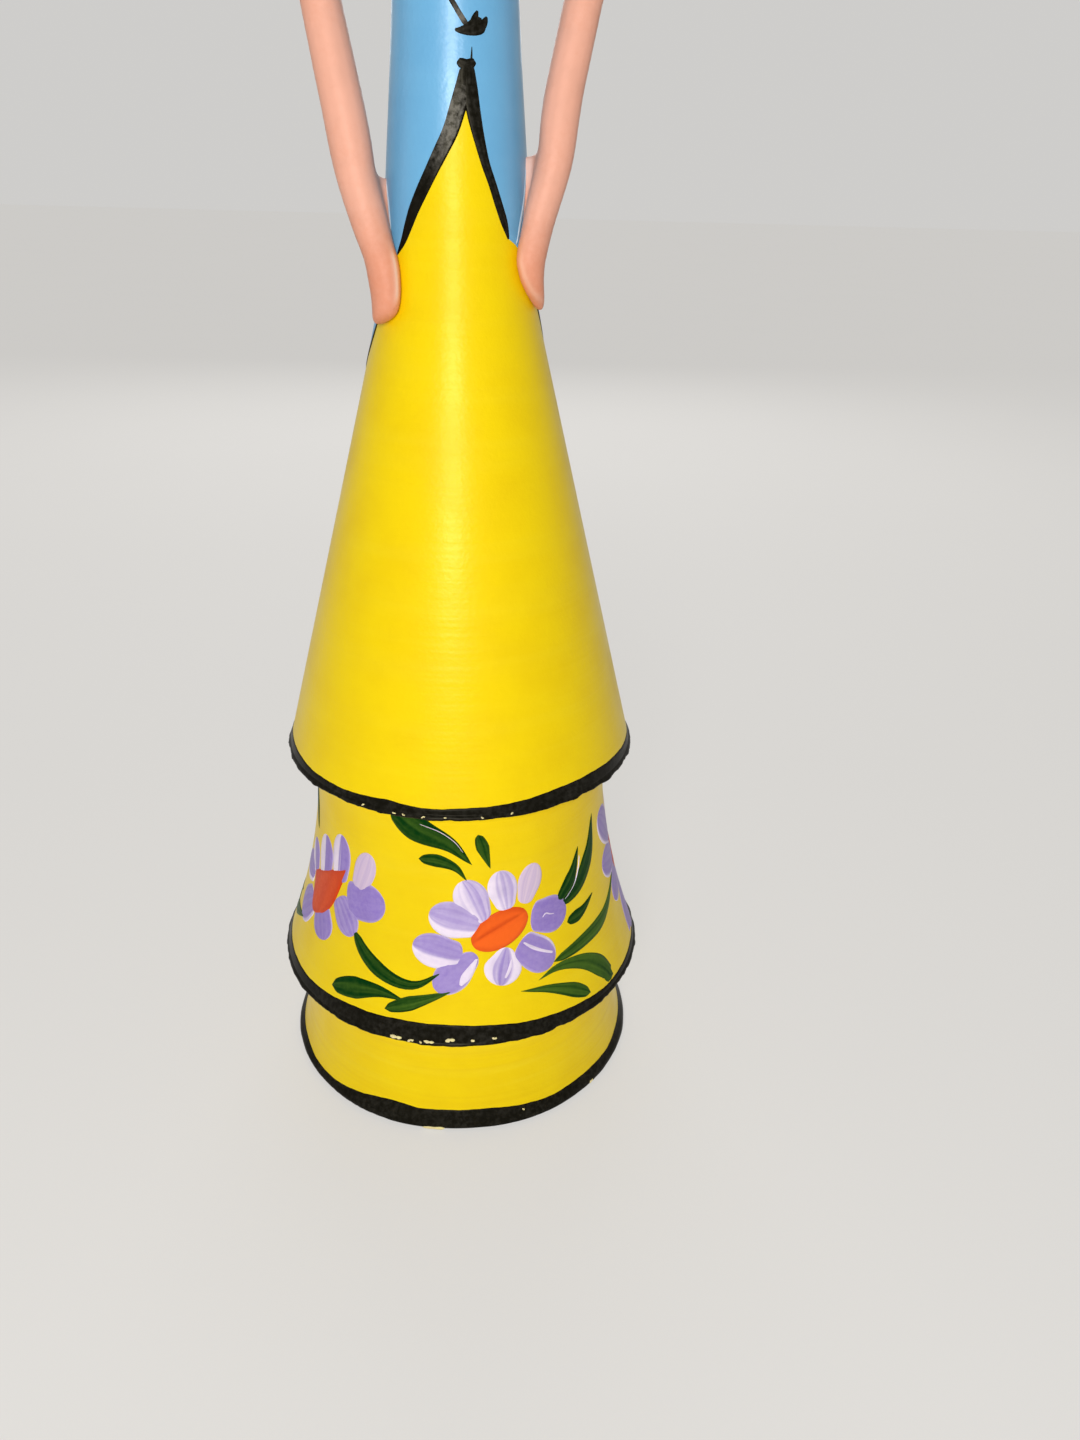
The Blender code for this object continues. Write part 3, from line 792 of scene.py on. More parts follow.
LEFT_PETALS = [
    ((-6.0, 0.2), (-8.8, 5.0), 4.6, 0.4, 0.4, 0.66, 0.0),
    ((-2.2, 1.2), (-2.9, 8.7), 5.2, 0.46, 0.12, 0.78, 0.0),
    ((2.3, 3.0), (2.1, 11.2), 4.9, 0.44, 0.14, 0.78, 0.0),
    ((6.9, 3.6), (8.6, 10.5), 4.2, 0.0, 0.9, 0.78, -0.75),
    ((4.8, 1.1), (12.4, 2.9), 6.5, 0.0, 0.1, 0.92, 0.0),
    ((2.8, 0.4), (7.4, -4.5), 5.4, 0.0, 0.4, 0.78, 0.04),
    ((-1.8, -3.6), (0.6, -8.6), 6.2, 0.0, 0.2, 0.85, 0.0),
    ((-5.2, -4.2), (-10.8, -9.4), 6.2, 0.06, 0.3, 0.8, 0.0),
    ((-6.6, -0.6), (-13.0, -1.0), 5.2, 0.2, 0.3, 0.7, 0.0),
]
RIGHT_PETALS = [
    ((-4.4, 4.2), (-12.6, 12.4), 6.6, 0.1, 0.3, 0.66, 0.0),
    ((-5.2, 0.6), (-13.8, 3.2), 5.8, 0.05, 0.3, 0.7, 0.0),
    ((-4.6, -1.8), (-12.0, -5.0), 5.8, 0.08, 0.3, 0.7, 0.0),
    ((-2.8, -4.0), (-7.8, -16.0), 7.4, 0.06, 0.3, 0.7, 0.0),
    ((2.0, -3.2), (4.6, -10.6), 5.8, 0.34, 0.3, 0.7, 0.1),
    ((5.0, -1.4), (12.0, -4.2), 6.0, 0.0, 0.1, 0.85, 0.0),
    ((4.8, 1.6), (11.8, 5.6), 5.6, 0.4, 0.5, 0.7, 0.1),
    ((2.4, 3.2), (5.4, 10.4), 5.2, 0.56, 0.9, 0.62, 0.2),
    ((-1.4, 3.4), (-3.2, 11.4), 5.2, 0.46, 1.0, 0.62, 0.2),
]
# Leaves left and right of a flower: points from the thick end to the fine tip, width, place of the
# widest part along the stroke, and lightness
LEFT_LEAVES = [
    ([(-16.4, 20.0), (-12.0, 17.0), (-7.2, 14.7), (-4.0, 11.3)], 4.8, 0.32, 0.16),
    ([(-12.1, 12.0), (-9.0, 11.9), (-6.6, 10.9), (-4.8, 8.6)], 2.2, 0.35, 0.26),
    ([(-3.0, 16.4), (-2.2, 13.8), (-1.2, 10.4)], 2.0, 0.4, 0.3),
    ([(-24.9, -3.3), (-23.0, -6.0), (-19.8, -8.2), (-14.6, -9.2), (-9.2, -6.4)], 2.6, 0.35, 0.1),
    ([(-30.6, -14.0), (-25.0, -12.3), (-20.1, -11.4), (-16.0, -11.8)], 3.5, 0.4, 0.15),
    ([(-19.6, -13.8), (-14.3, -11.8), (-8.0, -9.5)], 2.3, 0.4, 0.45),
]
RIGHT_LEAVES = [
    ([(11.0, 0.7), (15.4, 2.7), (18.7, 6.6), (20.0, 12.6)], 3.2, 0.55, 0.05),
    ([(10.4, 1.7), (13.8, 5.0), (15.4, 9.0)], 2.5, 0.45, 0.05),
    ([(12.2, -2.6), (15.8, -2.3), (19.2, -0.8)], 2.2, 0.35, 0.1),
    ([(9.0, -7.9), (15.4, -7.2), (22.4, -6.3), (29.6, -2.6)], 2.5, 0.55, 0.85),
    ([(23.2, -16.9), (19.4, -13.0), (14.0, -9.9), (8.8, -9.1), (6.0, -9.9)], 3.5, 0.3, 0.75),
    ([(16.4, -15.9), (12.2, -13.6), (7.4, -11.7), (2.8, -10.8)], 2.4, 0.3, 0.7),
]
SIDE_LEAVES = [
    ([(-19.0, 18.0), (-14.5, 15.4), (-10.2, 12.6), (-7.2, 7.4)], 4.2, 0.32, 0.08),
    ([(-28.0, -3.3), (-26.2, -6.0), (-23.4, -8.4), (-18.8, -9.8), (-14.6, -8.6)], 2.6, 0.35, 0.1),
] + LEFT_LEAVES[4:]
# White brush marks over petals, as (right, up, width)
PETAL_LIGHTS = [
    [(7.1, 0.0, 0.15), (7.9, 0.65, 0.3), (8.7, 0.25, 0.25), (9.8, -0.05, 0.12)],
    [(3.5, -2.8, 0.35), (5.2, -4.2, 0.75), (7.2, -5.4, 0.6), (9.1, -6.3, 0.5)],
    [(-3.8, -4.2, 0.3), (-5.1, -6.2, 1.5), (-6.0, -7.4, 1.7), (-6.9, -8.8, 0.4)],
    [(1.6, -5.0, 0.2), (1.2, -6.6, 0.7), (0.2, -8.4, 0.4)],
]
# Painted highlights: thin white lines along the edges between the leaves of the front flower, given the same
# way
LEAF_EDGE_HIGHLIGHTS = [
    [(-12.0, 18.1, 0.06), (-9.0, 17.1, 0.11), (-6.7, 15.5, 0.11), (-5.2, 13.4, 0.06)],
    [(15.7, 7.4, 0.06), (15.2, 5.0, 0.1), (13.7, 2.7, 0.11), (11.6, 1.3, 0.07)],
]
LIGHT_TONE = 0.92
# Centres of the flowers: stroke, how red it is, and how deep its groove is
OVAL_PLACES = 2.0 * eased(17) - 1.0
CENTRE = (oval((0.0, -0.1), 4.95, 6.0, 24.0, OVAL_PLACES), 0.0, 0.75)
SIDE_CENTRE = (oval((-0.8, 0.8), 6.4, 8.0, 24.0, OVAL_PLACES), 0.7, 0.75)
# Flowers round the tier: angle, height, tilt, petals, leaves, white marks with painted leaf highlights, and
# centre, or none for a cup
FLOWERS = [
    (12.9, 37.8, 0.0, PETALS, LEFT_LEAVES + RIGHT_LEAVES, PETAL_LIGHTS + LEAF_EDGE_HIGHLIGHTS, CENTRE),
    (-56.5, 37.8, 0.0, LEFT_PETALS, SIDE_LEAVES, [], None),
    (97.0, 35.8, 0.0, RIGHT_PETALS, [], [], SIDE_CENTRE),
    (166.0, 37.4, 4.0, PETALS, LEFT_LEAVES + RIGHT_LEAVES[:3] + RIGHT_LEAVES[4:], PETAL_LIGHTS, CENTRE),
    (233.0, 37.6, 16.0, PETALS, [], PETAL_LIGHTS, CENTRE),
]
# How far the flowers stay from the hems
HEM_GAP_BELOW = 2.0
HEM_GAP_ABOVE = 0.6
STROKE_ROWS = 34
# Share of a petal's length at its widest part, and over which its foot is rounded
PETAL_BELLY = 0.55
PETAL_FOOT = 0.14

petals = Skin()
centres = Skin()
leaves = Skin()
lights = Skin()


def flower_place(flower, right, up):
    """(angle, height) of points given from a flower's centre."""
    tilt = math.radians(flower[2])
    across = right * math.cos(tilt) - up * math.sin(tilt)
    height = flower[1] + right * math.sin(tilt) + up * math.cos(tilt)
    height = np.clip(height, MIDDLE_HEM + HEM_GAP_BELOW, UPPER_HEM - HEM_GAP_ABOVE)
    return flower[0] + np.degrees(across / FLOWERED.radius(height)), height


def flower_line(flower, right, up, width):
    """The line of a stroke given from a flower's centre."""
    return np.stack([*flower_place(flower, right, up), width], -1)


def petal_half(t, broad):
    """Width of a petal from its narrow foot to its round tip."""
    foot = broad + (1.0 - broad) * ramp(t, 0.0, PETAL_BELLY)
    tip = arch(np.maximum(0.0, (t - PETAL_BELLY) / (1.0 - PETAL_BELLY)))
    return foot * tip * arch(np.maximum(0.0, 1.0 - t / PETAL_FOOT))


def leaf_half(t, peak):
    """Width of a leaf from its round end to its fine tip."""
    return np.where(t < peak, arch((peak - t) / peak), ((1.0 - t) / (1.0 - peak)) ** 0.85)


def petal_tone(white, softness, milk, seed):
    """Tone of a petal: a side brushed white over lilac, or one thin even coat."""
    def tone(t, a):
        streaks = 0.2 * wave(a * 9.0, seed) + 0.1 * wave(a * 21.0 + t * 1.5, seed + 3.0)
        if milk < 0.0:
            return np.clip(milk + 0.6 * streaks, -1.0, -0.2)
        edge = 1.0 - 2.0 * abs(white)
        side = np.abs(a) if white < 0.0 else a
        inside = side + streaks * (0.3 + softness) - edge
        share = smooth(inside / max(softness, 0.05) + 0.5) * (white != 0.0)
        brushed = 0.34 * smooth(0.5 + 1.4 * wave(a * 13.0 + t * 0.8, seed + 6.0)) * softness
        rim = 0.35 * ramp(np.abs(a), 0.86, 1.0) + 0.04
        return np.clip(milk + (0.92 - milk) * share + brushed * (1.0 - 0.5 * share) + rim, 0.0, 1.0)
    return tone


def leaf_tone(light, seed):
    """Tone of a leaf: streaked, and lighter towards the tip."""
    def tone(t, a):
        streaks = 0.54 * wave(a * 5.0 + 1.5 * t, seed)
        inner = 0.14 * ramp(np.abs(a + 0.15), 0.85, 0.5)
        return np.clip(light * (0.5 + 0.5 * t) + streaks * (0.6 + 0.4 * light) + inner, 0.0, 1.0)
    return tone


def centre_tone(red, depth):
    """Tone of a flower's centre: a redder rim and a groove along it."""
    def tone(t, a):
        groove = bell(a, 0.22, 0.1) * ramp(t, 0.0, 0.2) * ramp(t, 1.0, 0.8)
        rim = 0.3 * ramp(np.hypot(a, 2.0 * t - 1.0), 0.75, 1.05)
        shade = depth * (groove + 0.3 * (a > 0.22))
        return np.clip(red + shade + rim + 0.08 * np.sin(7.0 * a + 3.0 * t), 0.0, 1.0)
    return tone


def paint_cup(flower):
    """The slanting centre with a straight upper edge, closed to a blunt point below."""
    across = np.linspace(-1.0, 1.0, 21)
    down = eased(30)[:, None]
    half = (5.4 - 2.2 * down) * arch(np.maximum(0.0, (down - 0.55) / 0.45) ** 2)
    right = -1.1 - 1.2 * down + np.maximum(half, 0.03) * across
    up = 3.3 - 8.1 * down + 0.53 * (right + 1.1)
    edge = np.minimum(1.0 - np.abs(across), 2.0 * np.minimum(down, 1.0 - down))
    lift = 0.16 * np.sqrt(np.clip(10.0 * edge, 0.0, 1.0))
    centres.lay(FLOWERED, *flower_place(flower, right, up), lift, centre_tone(0.85, 0.0)(down, across))


def paint_flower(flower, seed):
    for i, (foot, tip, width, white, softness, broad, milk) in enumerate(flower[3]):
        t = eased(21)
        right, up = (start + (end - start) * t for start, end in zip(foot, tip))
        line = flower_line(flower, right, up, width * petal_half(t, broad))
        tone = petal_tone(white, softness, milk, seed + i)
        petals.stroke(FLOWERED, line, 0.1 + 0.008 * (i % 3), tone, seed + i, 25, STROKE_ROWS, True)
    if flower[6]:
        points, red, depth = flower[6]
        line = flower_line(flower, *points.T)
        centres.stroke(FLOWERED, line, 0.15, centre_tone(red, depth), seed, 21, STROKE_ROWS, True)
    else:
        paint_cup(flower)
    for i, (points, width, peak, light) in enumerate(flower[4]):
        t = even(16)
        line = flower_line(flower, *curve_through(points, t).T, width * leaf_half(t, peak))
        tone = leaf_tone(light, seed + i)
        leaves.stroke(FLOWERED, line, 0.09 + 0.006 * (i % 4), tone, seed + i, 13, STROKE_ROWS)
    for points in flower[5]:
        # White brush marks over the petals, and painted highlights along the leaves
        lights.stroke(FLOWERED, flower_line(flower, *np.array(points).T), 0.16, LIGHT_TONE, seed, 7)


for number, flower in enumerate(FLOWERS):
    paint_flower(flower, 3.0 * number)
petals.piece("flower_petals", PETAL_PAINT, "figure")
lights.piece("petal_marks_and_leaf_highlights", PETAL_PAINT, "figure")
centres.piece("flower_centres", CENTRE_PAINT, "figure")
leaves.piece("leaves", LEAF_PAINT, "figure")


# Arms and sleeves. In the tables by side, 1 is the doll's left and -1 its right

ELBOW = np.array([18.7, 0.0, 172.4])
WRIST_ANGLE = 63.0
WRIST_LEVEL = {1: 136.9, -1: 134.1}
WRIST_STANDOFF = 2.5
SHOULDER_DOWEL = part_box("shoulder_dowel")
SLEEVE_OUT = SHOULDER_DOWEL[1].x / MM - 1.5
SHOULDER_LEVEL = (SHOULDER_DOWEL[0].z + SHOULDER_DOWEL[1].z) / 2 / MM
# Paint and glue that fill the gap between forearm and hip
FILL_TOP = {1: 145.2, -1: 142.2}
FILL_FOOT = 132.0
FILL_BACK = 7.0
FILL_SINK = 0.7
FILL_RINGS = 9
FILL_SIDES = 10
# How the wrists and hands lie on the hips, by height: turn outward, share of width and share of thickness
HAND_FORM = {
    1: [(150, 0, 1.0, 1.0), (141, 0, 1.0, 0.96), (136, 0, 1.0, 0.83), (133, 0, 0.95, 0.78),
        (131, 3, 0.85, 0.72), (129, 9, 0.72, 0.6), (127, 18, 0.6, 0.44), (125, 26, 0.5, 0.36)],
    -1: [(150, 0, 1.0, 1.0), (141, 1, 1.0, 1.0), (136, -1, 0.92, 0.92), (132, -3, 0.92, 0.8),
         (129, -1, 0.9, 0.76), (126.5, 3, 0.85, 0.68), (124, 13, 0.7, 0.5)],
}
HAND_DROP = {1: 0.9, -1: 0.0}
# How strongly the painted highlight along each hand's inner edge shows
HAND_HIGHLIGHT_SHARE = {1: 0.8, -1: 1.6}
ARM_FULLNESS = {1: 0.10, -1: 0.22}
ARM_INWARD = {1: 0.65, -1: 0.0}
# For each softened piece: how fine its mesh is, in metres, and the rounds of softening
SOFTNESS = {"arm": (0.00028, 10), "sleeve": (0.0003, 5), "nose": (0.00018, 4), "bun": (0.00026, 5)}


def arm_place(side, height):
    """Middle of the forearm at a height, as angle and distance from the axis."""
    level = WRIST_LEVEL[side]
    wrist = around(math.radians(WRIST_ANGLE), SKIRT.radius(level) + WRIST_STANDOFF, level)
    place = wrist + (ELBOW - wrist) * max((height - level) / (ELBOW[2] - level), 0.0)
    return math.degrees(math.atan2(place[0], -place[1])), math.hypot(place[0], place[1])


def fill_mesh(side):
    """A rounded wedge between the hip and the inner side of the forearm."""
    spin = 2.0 * np.pi * (np.arange(FILL_SIDES) + 0.5) / FILL_SIDES
    points = []
    for share in even(FILL_RINGS):
        height = FILL_FOOT + (FILL_TOP[side] - FILL_FOOT) * share
        angle, distance = arm_place(side, height)
        near = SKIRT.radius(height) - FILL_SINK
        half = 0.25 + 0.35 * arch(share ** 1.25) + 0.35 * smooth(1.5 * share)
        turn = math.radians(angle + FILL_BACK * smooth(1.2 * share))
        reach = near + (distance - near) * (0.5 + 0.55 * np.cos(spin))
        ring = around(turn, reach, height) + around(turn - np.pi / 2, half * np.sin(spin), 0.0)
        points.extend(ring * (side, 1.0, 1.0))
    here = np.arange(len(points)).reshape(-1, FILL_SIDES)
    there = np.roll(here, -1, 1)
    faces = [here[0].tolist(), here[-1, ::-1].tolist()]
    faces += quads(here[:-1], there[:-1], there[1:], here[1:])
    return mesh_from("fill", points, faces, np.zeros(len(points)))


def relaxed(mesh, places, weight, rounds):
    """The places drawn towards their neighbours, by a weight for each."""
    edges = np.empty(len(mesh.edges) * 2, int)
    mesh.edges.foreach_get("vertices", edges)
    first, second = edges.reshape(-1, 2).T
    size = len(places)
    count = np.bincount(edges, minlength=size)[:, None]
    for _ in range(rounds):
        sums = [np.bincount(first, column[second], size) + np.bincount(second, column[first], size)
                for column in places.T]
        places = places + 0.5 * weight[:, None] * (np.stack(sums, -1) / count - places)
    return places


def arm_tone(height, gap, inner, side):
    """The hands are deeper than the arms, with a painted highlight along the inner edge and a pale web."""
    tone = 0.62 * ramp(height, 140.0, 131.0) + 0.08 * wave(height * 0.35, 1.0)
    # A pale band near the hand's inner edge: a painted highlight
    ridge = inner * bell(gap, 1.6, 0.4) * ramp(height, 135.0, 132.0) * ramp(height, 126.5, 128.5)
    web = ramp(height, 139.0, 144.0) * ramp(gap, 1.6, 0.6)
    return tone - HAND_HIGHLIGHT_SHARE[side] * ridge - 0.8 * web


def gap_to_body(places):
    return np.hypot(places[:, 0], places[:, 1]) - SKIRT.radius(places[:, 2])


def dress_arm(name, side):
    """A soft arm: filled at the hip, a little fuller, and with its hand flattened to a mitten."""
    mesh = softened(name, *SOFTNESS["arm"], fill_mesh(side))
    places = corners_of(mesh)
    near_top = bell(places[:, 2], FILL_TOP[side], 2.2) * ramp(gap_to_body(places), 4.2, 2.7)
    places = relaxed(mesh, places, near_top, 60)
    height = places[:, 2]
    levels = np.linspace(height.min(), height.max(), 80)
    middles = np.array([arm_place(side, level) for level in levels])
    turned = np.radians(np.interp(height, levels, middles[:, 0]))
    reach = np.interp(height, levels, middles[:, 1])
    middle = around(side * turned, reach, 0.0)[:, :2]
    fuller = ARM_FULLNESS[side] * ramp(height, 172.0, 146.0)
    inward = ARM_INWARD[side] * ramp(height, 180.0, 160.0) * ramp(height, 143.0, 153.0)
    places[:, :2] += fuller[:, None] * (places[:, :2] - middle)
    places[:, :2] -= inward[:, None] * middle / reach[:, None]
    turn = np.degrees(np.arctan2(side * places[:, 0], -places[:, 1]))
    gap = gap_to_body(places)
    height = height - HAND_DROP[side] * ramp(height, 132.0, 127.0)
    form = curve_through(HAND_FORM[side], even(120))[::-1]
    added, width, thickness = (np.interp(height, form[:, 0], column) for column in form.T[1:])
    from_middle = turn - np.interp(height, (120.0, 140.0), (50.0, 66.0))
    turn = np.radians(turn + from_middle * (width - 1.0) + added)
    gap = np.where(gap > 0.0, gap * thickness, gap)
    move_corners(mesh, around(side * turn, SKIRT.radius(height) + gap, height))
    set_tone(mesh, arm_tone(height, gap, smooth(-from_middle / 3.0), side))
    piece = add_piece(name + "_painted", mesh, SKIN_PAINT, "figure")
    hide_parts(name)


def dress_sleeve(name, side):
    """A soft sleeve, and the surface on which its pleats and cuff lines are laid."""
    mesh = softened(name, *SOFTNESS["sleeve"])
    set_tone(mesh, np.full(len(mesh.vertices), GARMENT_TONE))
    piece = add_piece(name + "_painted", mesh, WHITE_PAINT, "figure")
    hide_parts(name)
    shoulder = Vector((side * SLEEVE_OUT, 0.0, SHOULDER_LEVEL)) * MM
    elbow = Vector(ELBOW * (side, 1.0, 1.0)) * MM
    matrix = Matrix.LocRotScale(shoulder, (shoulder - elbow).to_track_quat("Z", "Y"), None)
    outline = meridian(name, 3.2, (float(side), 0.0), matrix.inverted())
    return Tier(refine(outline, 0.8), -11.2, 6.5, matrix)


SLEEVE_PLEATS = 18
NECK_PLEATS = 22
CUFF_LEVELS = (-8.0, -10.2)
CUFF_WIDTH = 0.7

pleats = Skin()
cuffs = Skin()
for side_name, side in (("left", 1), ("right", -1)):
    dress_arm(side_name + "_arm", side)
    sleeve = dress_sleeve(side_name + "_sleeve", side)
    for k in range(SLEEVE_PLEATS):
        angle = 360.0 / SLEEVE_PLEATS * k + 4.0 * wave(k * 1.3, side)
        bend = angle + 5.0 * wave(k * 2.1, 2.0)
        pleat = [(angle, 4.6, 0.12), (bend, 1.6, 0.45), (angle, -2.0, 0.4), (angle, -6.2, 0.12)]
        pleats.stroke(sleeve, pleat, 0.08, 0.8, k, 5)
    for level in CUFF_LEVELS:
        ring = [(turn, level, CUFF_WIDTH) for turn in np.linspace(-4.0, 364.0, 49)]
        cuffs.stroke(sleeve, ring, 0.1, 0.1, level, 7, 97)
for k in range(NECK_PLEATS):
    angle = 360.0 / NECK_PLEATS * (k + 0.5)
    bend = angle + 3.0 * wave(k * 1.7, 1.0)
    pleat = [(angle, NECK_ROOT - 1.8, 0.15), (bend, NECK_ROOT - 4.0, 0.4), (bend, NECK_ROOT - 6.4, 0.35),
             (angle, NECK_ROOT - 9.0, 0.12)]
    pleats.stroke(SKIRT, pleat, 0.09, 0.25, k, 5)
pleats.piece("sleeve_pleats", stroke_paint("pleat_paint", WHITE_SHADE, BLUE, 0.2), "figure")
cuffs.piece("sleeve_cuffs", RED_PAINT, "figure")

# Pale lines where the forearms are joined to the bodice
CONTACTS = [
    [(-59, 134.0, 0.15), (-63, 136.4, 0.5), (-68, 138.8, 0.5), (-73, 140.4, 0.4), (-77, 141.6, 0.1)],
    [(50, 134.4, 0.2), (57, 137.0, 0.55), (65, 139.6, 0.6), (72, 142.4, 0.5), (77, 144.4, 0.1)],
]
contact = Skin()
for k, line in enumerate(CONTACTS):
    contact.stroke(SKIRT, line, 0.14, 0.5, k + 1.0, 7)
contact.piece("contact_lines", stroke_paint("contact_paint", BLUE_PALE, WHITE, 0.4), "figure")


# Small chips where the paint has come off the hems

def bead(hem):
    """The face of the bead of paint along a hem, as a surface to lay chips on."""
    path, _, way = hem_run(hem, HEM_REACH)
    depth = BAND_FILM + HEM_SAG * np.clip(2.0 * way[:, 0], 0.0, 1.0)
    face = np.stack([path[:, 0] + depth * way[:, 1], path[:, 1] - depth * way[:, 0]], -1)
    return Tier(face[way[:, 0] < 0.8], hem - 2.0, hem + 3.0)


def chip_tone(t, a):
    return 0.2 + 0.3 * np.sin(5.0 * t)


# For each band: the surface that its chips lie on, and their lift
CHIP_TIERS = {"middle": (bead(MIDDLE_HEM), 0.14), "upper": (bead(UPPER_HEM), 0.14), "base": (PLINTH, 0.42),
              "side": (PLINTH, 0.68)}
# Chips: band, angle, height above the foot of its surface, length and width
CHIPS = [
    ("middle", -20.2, 1.05, 2.0, 0.5), ("middle", -15.6, 0.95, 1.0, 0.32), ("middle", -12.6, 0.95, 0.4, 0.25),
    ("middle", -10.2, 1.1, 1.7, 0.45), ("middle", -4.0, 1.5, 1.5, 0.65), ("middle", 2.6, 1.4, 0.6, 0.45),
    ("middle", 9.0, 1.45, 0.8, 0.4), ("upper", -31.0, 0.8, 0.4, 0.2), ("upper", -20.5, 0.75, 0.6, 0.22),
    ("upper", -17.5, 0.75, 0.5, 0.2), ("upper", -11.5, 0.7, 0.6, 0.22), ("upper", -5.0, 0.8, 0.4, 0.2),
    ("upper", 6.0, 0.75, 0.4, 0.2), ("upper", 15.0, 0.85, 0.4, 0.22), ("base", -10.0, 0.5, 4.2, 0.6),
    ("base", 19.5, 2.2, 0.5, 0.3), ("side", 47.0, 0.7, 1.3, 0.5),
]
# A chip's ragged form: shares of its half length, its lean and its width
CHIP_FORM = [(-1.0, -1.0, 0.4), (-0.3, 0.0, 1.0), (0.1, 1.0, 0.5), (0.5, 0.4, 0.9), (1.0, 1.0, 0.3)]

chips = Skin()
for k, (tier, angle, height, length, width) in enumerate(CHIPS):
    surface, lift = CHIP_TIERS[tier]
    height = height + surface.heights[0]
    half = math.degrees(length / 2.0 / surface.radius(height))
    lean = 0.12 * math.sin(2.0 * k)
    line = [(angle + along * half, height + up * lean, share * width) for along, up, share in CHIP_FORM]
    chips.stroke(surface, line, lift, chip_tone, k, 7)
chips.piece("paint_chips", CHIP_PAINT, "figure")


# Head

HEAD_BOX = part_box("head")
HEAD_TOP = HEAD_BOX[1].z / MM
HEAD_FOOT = HEAD_BOX[0].z / MM
HEAD_OUTLINE = meridian("head", 3.5, (1.0, 0.0))
HEAD_PROFILE = refine([(0.0, HEAD_TOP)] + HEAD_OUTLINE + [(0.0, HEAD_FOOT)], 0.9)
HEAD = Tier(HEAD_PROFILE, HEAD_FOOT + TIER_GAP, HEAD_TOP)
HEAD_STEPS = 160
CHEEKS = [(-36.0, 229.3), (36.0, 229.3)]
CHEEK_SPREAD = 3.0


def head_tone(points):
    """Rosy cheeks."""
    tone = np.zeros(len(points))
    for angle, height in CHEEKS:
        away = np.linalg.norm(points - HEAD.place(angle, height, 0.0), axis=1)
        tone = tone + 0.75 * bell(away, 0.0, CHEEK_SPREAD)
    return tone


head_mesh = lathe("painted_head", HEAD_PROFILE, HEAD_STEPS, head_tone)
head = add_piece("painted_head", head_mesh, SKIN_PAINT, "head")
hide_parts("head")


def dot(skin, angle, height, wide, tall, lift, tone):
    """A round dab of paint."""
    line = oval((angle, height), tall / 2.0, wide, 90.0, np.linspace(-1.0, 1.0, 11))
    skin.stroke(HEAD, line, lift, tone, 0.0, 11, 16)


def mirrored(line, side):
    return [(side * angle, height, width) for angle, height, width in line]


# The face, for one side: upper lid, brow and lip, and the lower lip across
EYE_ANGLE, EYE_LEVEL = 20.0, 236.0
LID = [(15.5, 237.2, 0.15), (20.0, 238.0, 0.4), (25.0, 237.4, 0.15)]
BROW = [(13.0, 240.0, 0.15), (18.0, 240.8, 0.42), (24.0, 240.9, 0.42), (30.0, 240.0, 0.12)]
LIP = [(0.6, 227.3, 0.6), (4.0, 227.6, 0.75), (9.0, 228.0, 0.15)]
LOWER_LIP = [(-6.0, 227.1, 0.15), (0.0, 226.5, 0.8), (6.0, 227.1, 0.15)]

eyes = Skin()
glints = Skin()
lips = Skin()
brows = Skin()
for side in (-1, 1):
    dot(eyes, side * EYE_ANGLE, EYE_LEVEL, 2.0, 2.5, 0.12, 0.0)
    dot(glints, side * EYE_ANGLE - 2.0, EYE_LEVEL + 0.7, 0.7, 0.8, 0.2, 1.0)
    eyes.stroke(HEAD, mirrored(LID, side), 0.1, dense, 1.0, 7)
    brows.stroke(HEAD, mirrored(BROW, side), 0.1, 0.3, 2.0, 7)
    lips.stroke(HEAD, mirrored(LIP, side), 0.11, 0.1, 3.0, 7)
lips.stroke(HEAD, LOWER_LIP, 0.12, 0.3, 4.0, 7)
eyes.piece("eyes", BLACK_PAINT, "head")
glints.piece("eye_glints", PETAL_PAINT, "head")
brows.piece("brows", HAIR_PAINT, "head", "hair_paint")
lips.piece("lips", RED_PAINT, "head")

# Hair painted over the head and swept back to the bun
HAIRLINE = [(0, 246.4), (12, 245.6), (30, 241.6), (52, 235.6), (72, 230.2), (95, 226.4), (130, 224.6),
            (180, 224.0)]
HAIR_LIFT = 0.18
CROWN_GAP = 0.004
CROWN_SWEEP = np.array([(9, 249.6), (50, 250.0), (100, 249.8), (140, 249.0), (166, 246.4)])
SIDE_SWEEP = np.array([(13, 245.9), (50, 236.8), (90, 227.8), (135, 228.6), (166, 238.0)])
SWEEP_WIDTH = 0.8
# Strands up the nape: spread between them, height and width
NAPE = [(9.0, 225.3, 0.2), (8.0, 229.0, 0.7), (6.0, 233.0, 0.7), (4.0, 238.0, 0.2)]
STRANDS = 9


def strand_tone(level):
    """A strand is lightest along its middle."""
    return lambda t, a: level + 0.2 * np.cos(2.0 * a)


hair = Skin()
angle = full_turn(300)
share = even(60)
climb = share ** 0.8
hairline = edge_height(HAIRLINE, np.abs(angle)) + 0.18 * wave(np.radians(angle) * 24.0, 1.0)
height = hairline * (1.0 - climb) + (HEAD_TOP - CROWN_GAP) * climb
ridges = 1.0 + 0.25 * wave(angle * 0.9, 3.0) * (1.0 - share)
lift = HAIR_LIFT * np.clip(12.0 * share, 0.4, 1.0) * ridges
tone = 0.15 + 0.15 * wave(angle * 0.7, 5.0)
hair.wrap(HEAD.place(angle, height, lift), HEAD.place(angle, height, -SINK), tone)
for side in (-1, 1):
    for k in range(STRANDS):
        sweep = SIDE_SWEEP + (CROWN_SWEEP - SIDE_SWEEP) * k / (STRANDS - 1)
        bow = 0.25 * wave(k * 1.9 + SIDE_SWEEP[:, 0], 2.0)
        line = np.stack([side * sweep[:, 0], sweep[:, 1] + bow, np.full(len(sweep), SWEEP_WIDTH)], -1)
        hair.stroke(HEAD, tapered(line), HAIR_LIFT + 0.14, strand_tone(0.75), k, 7, 40)
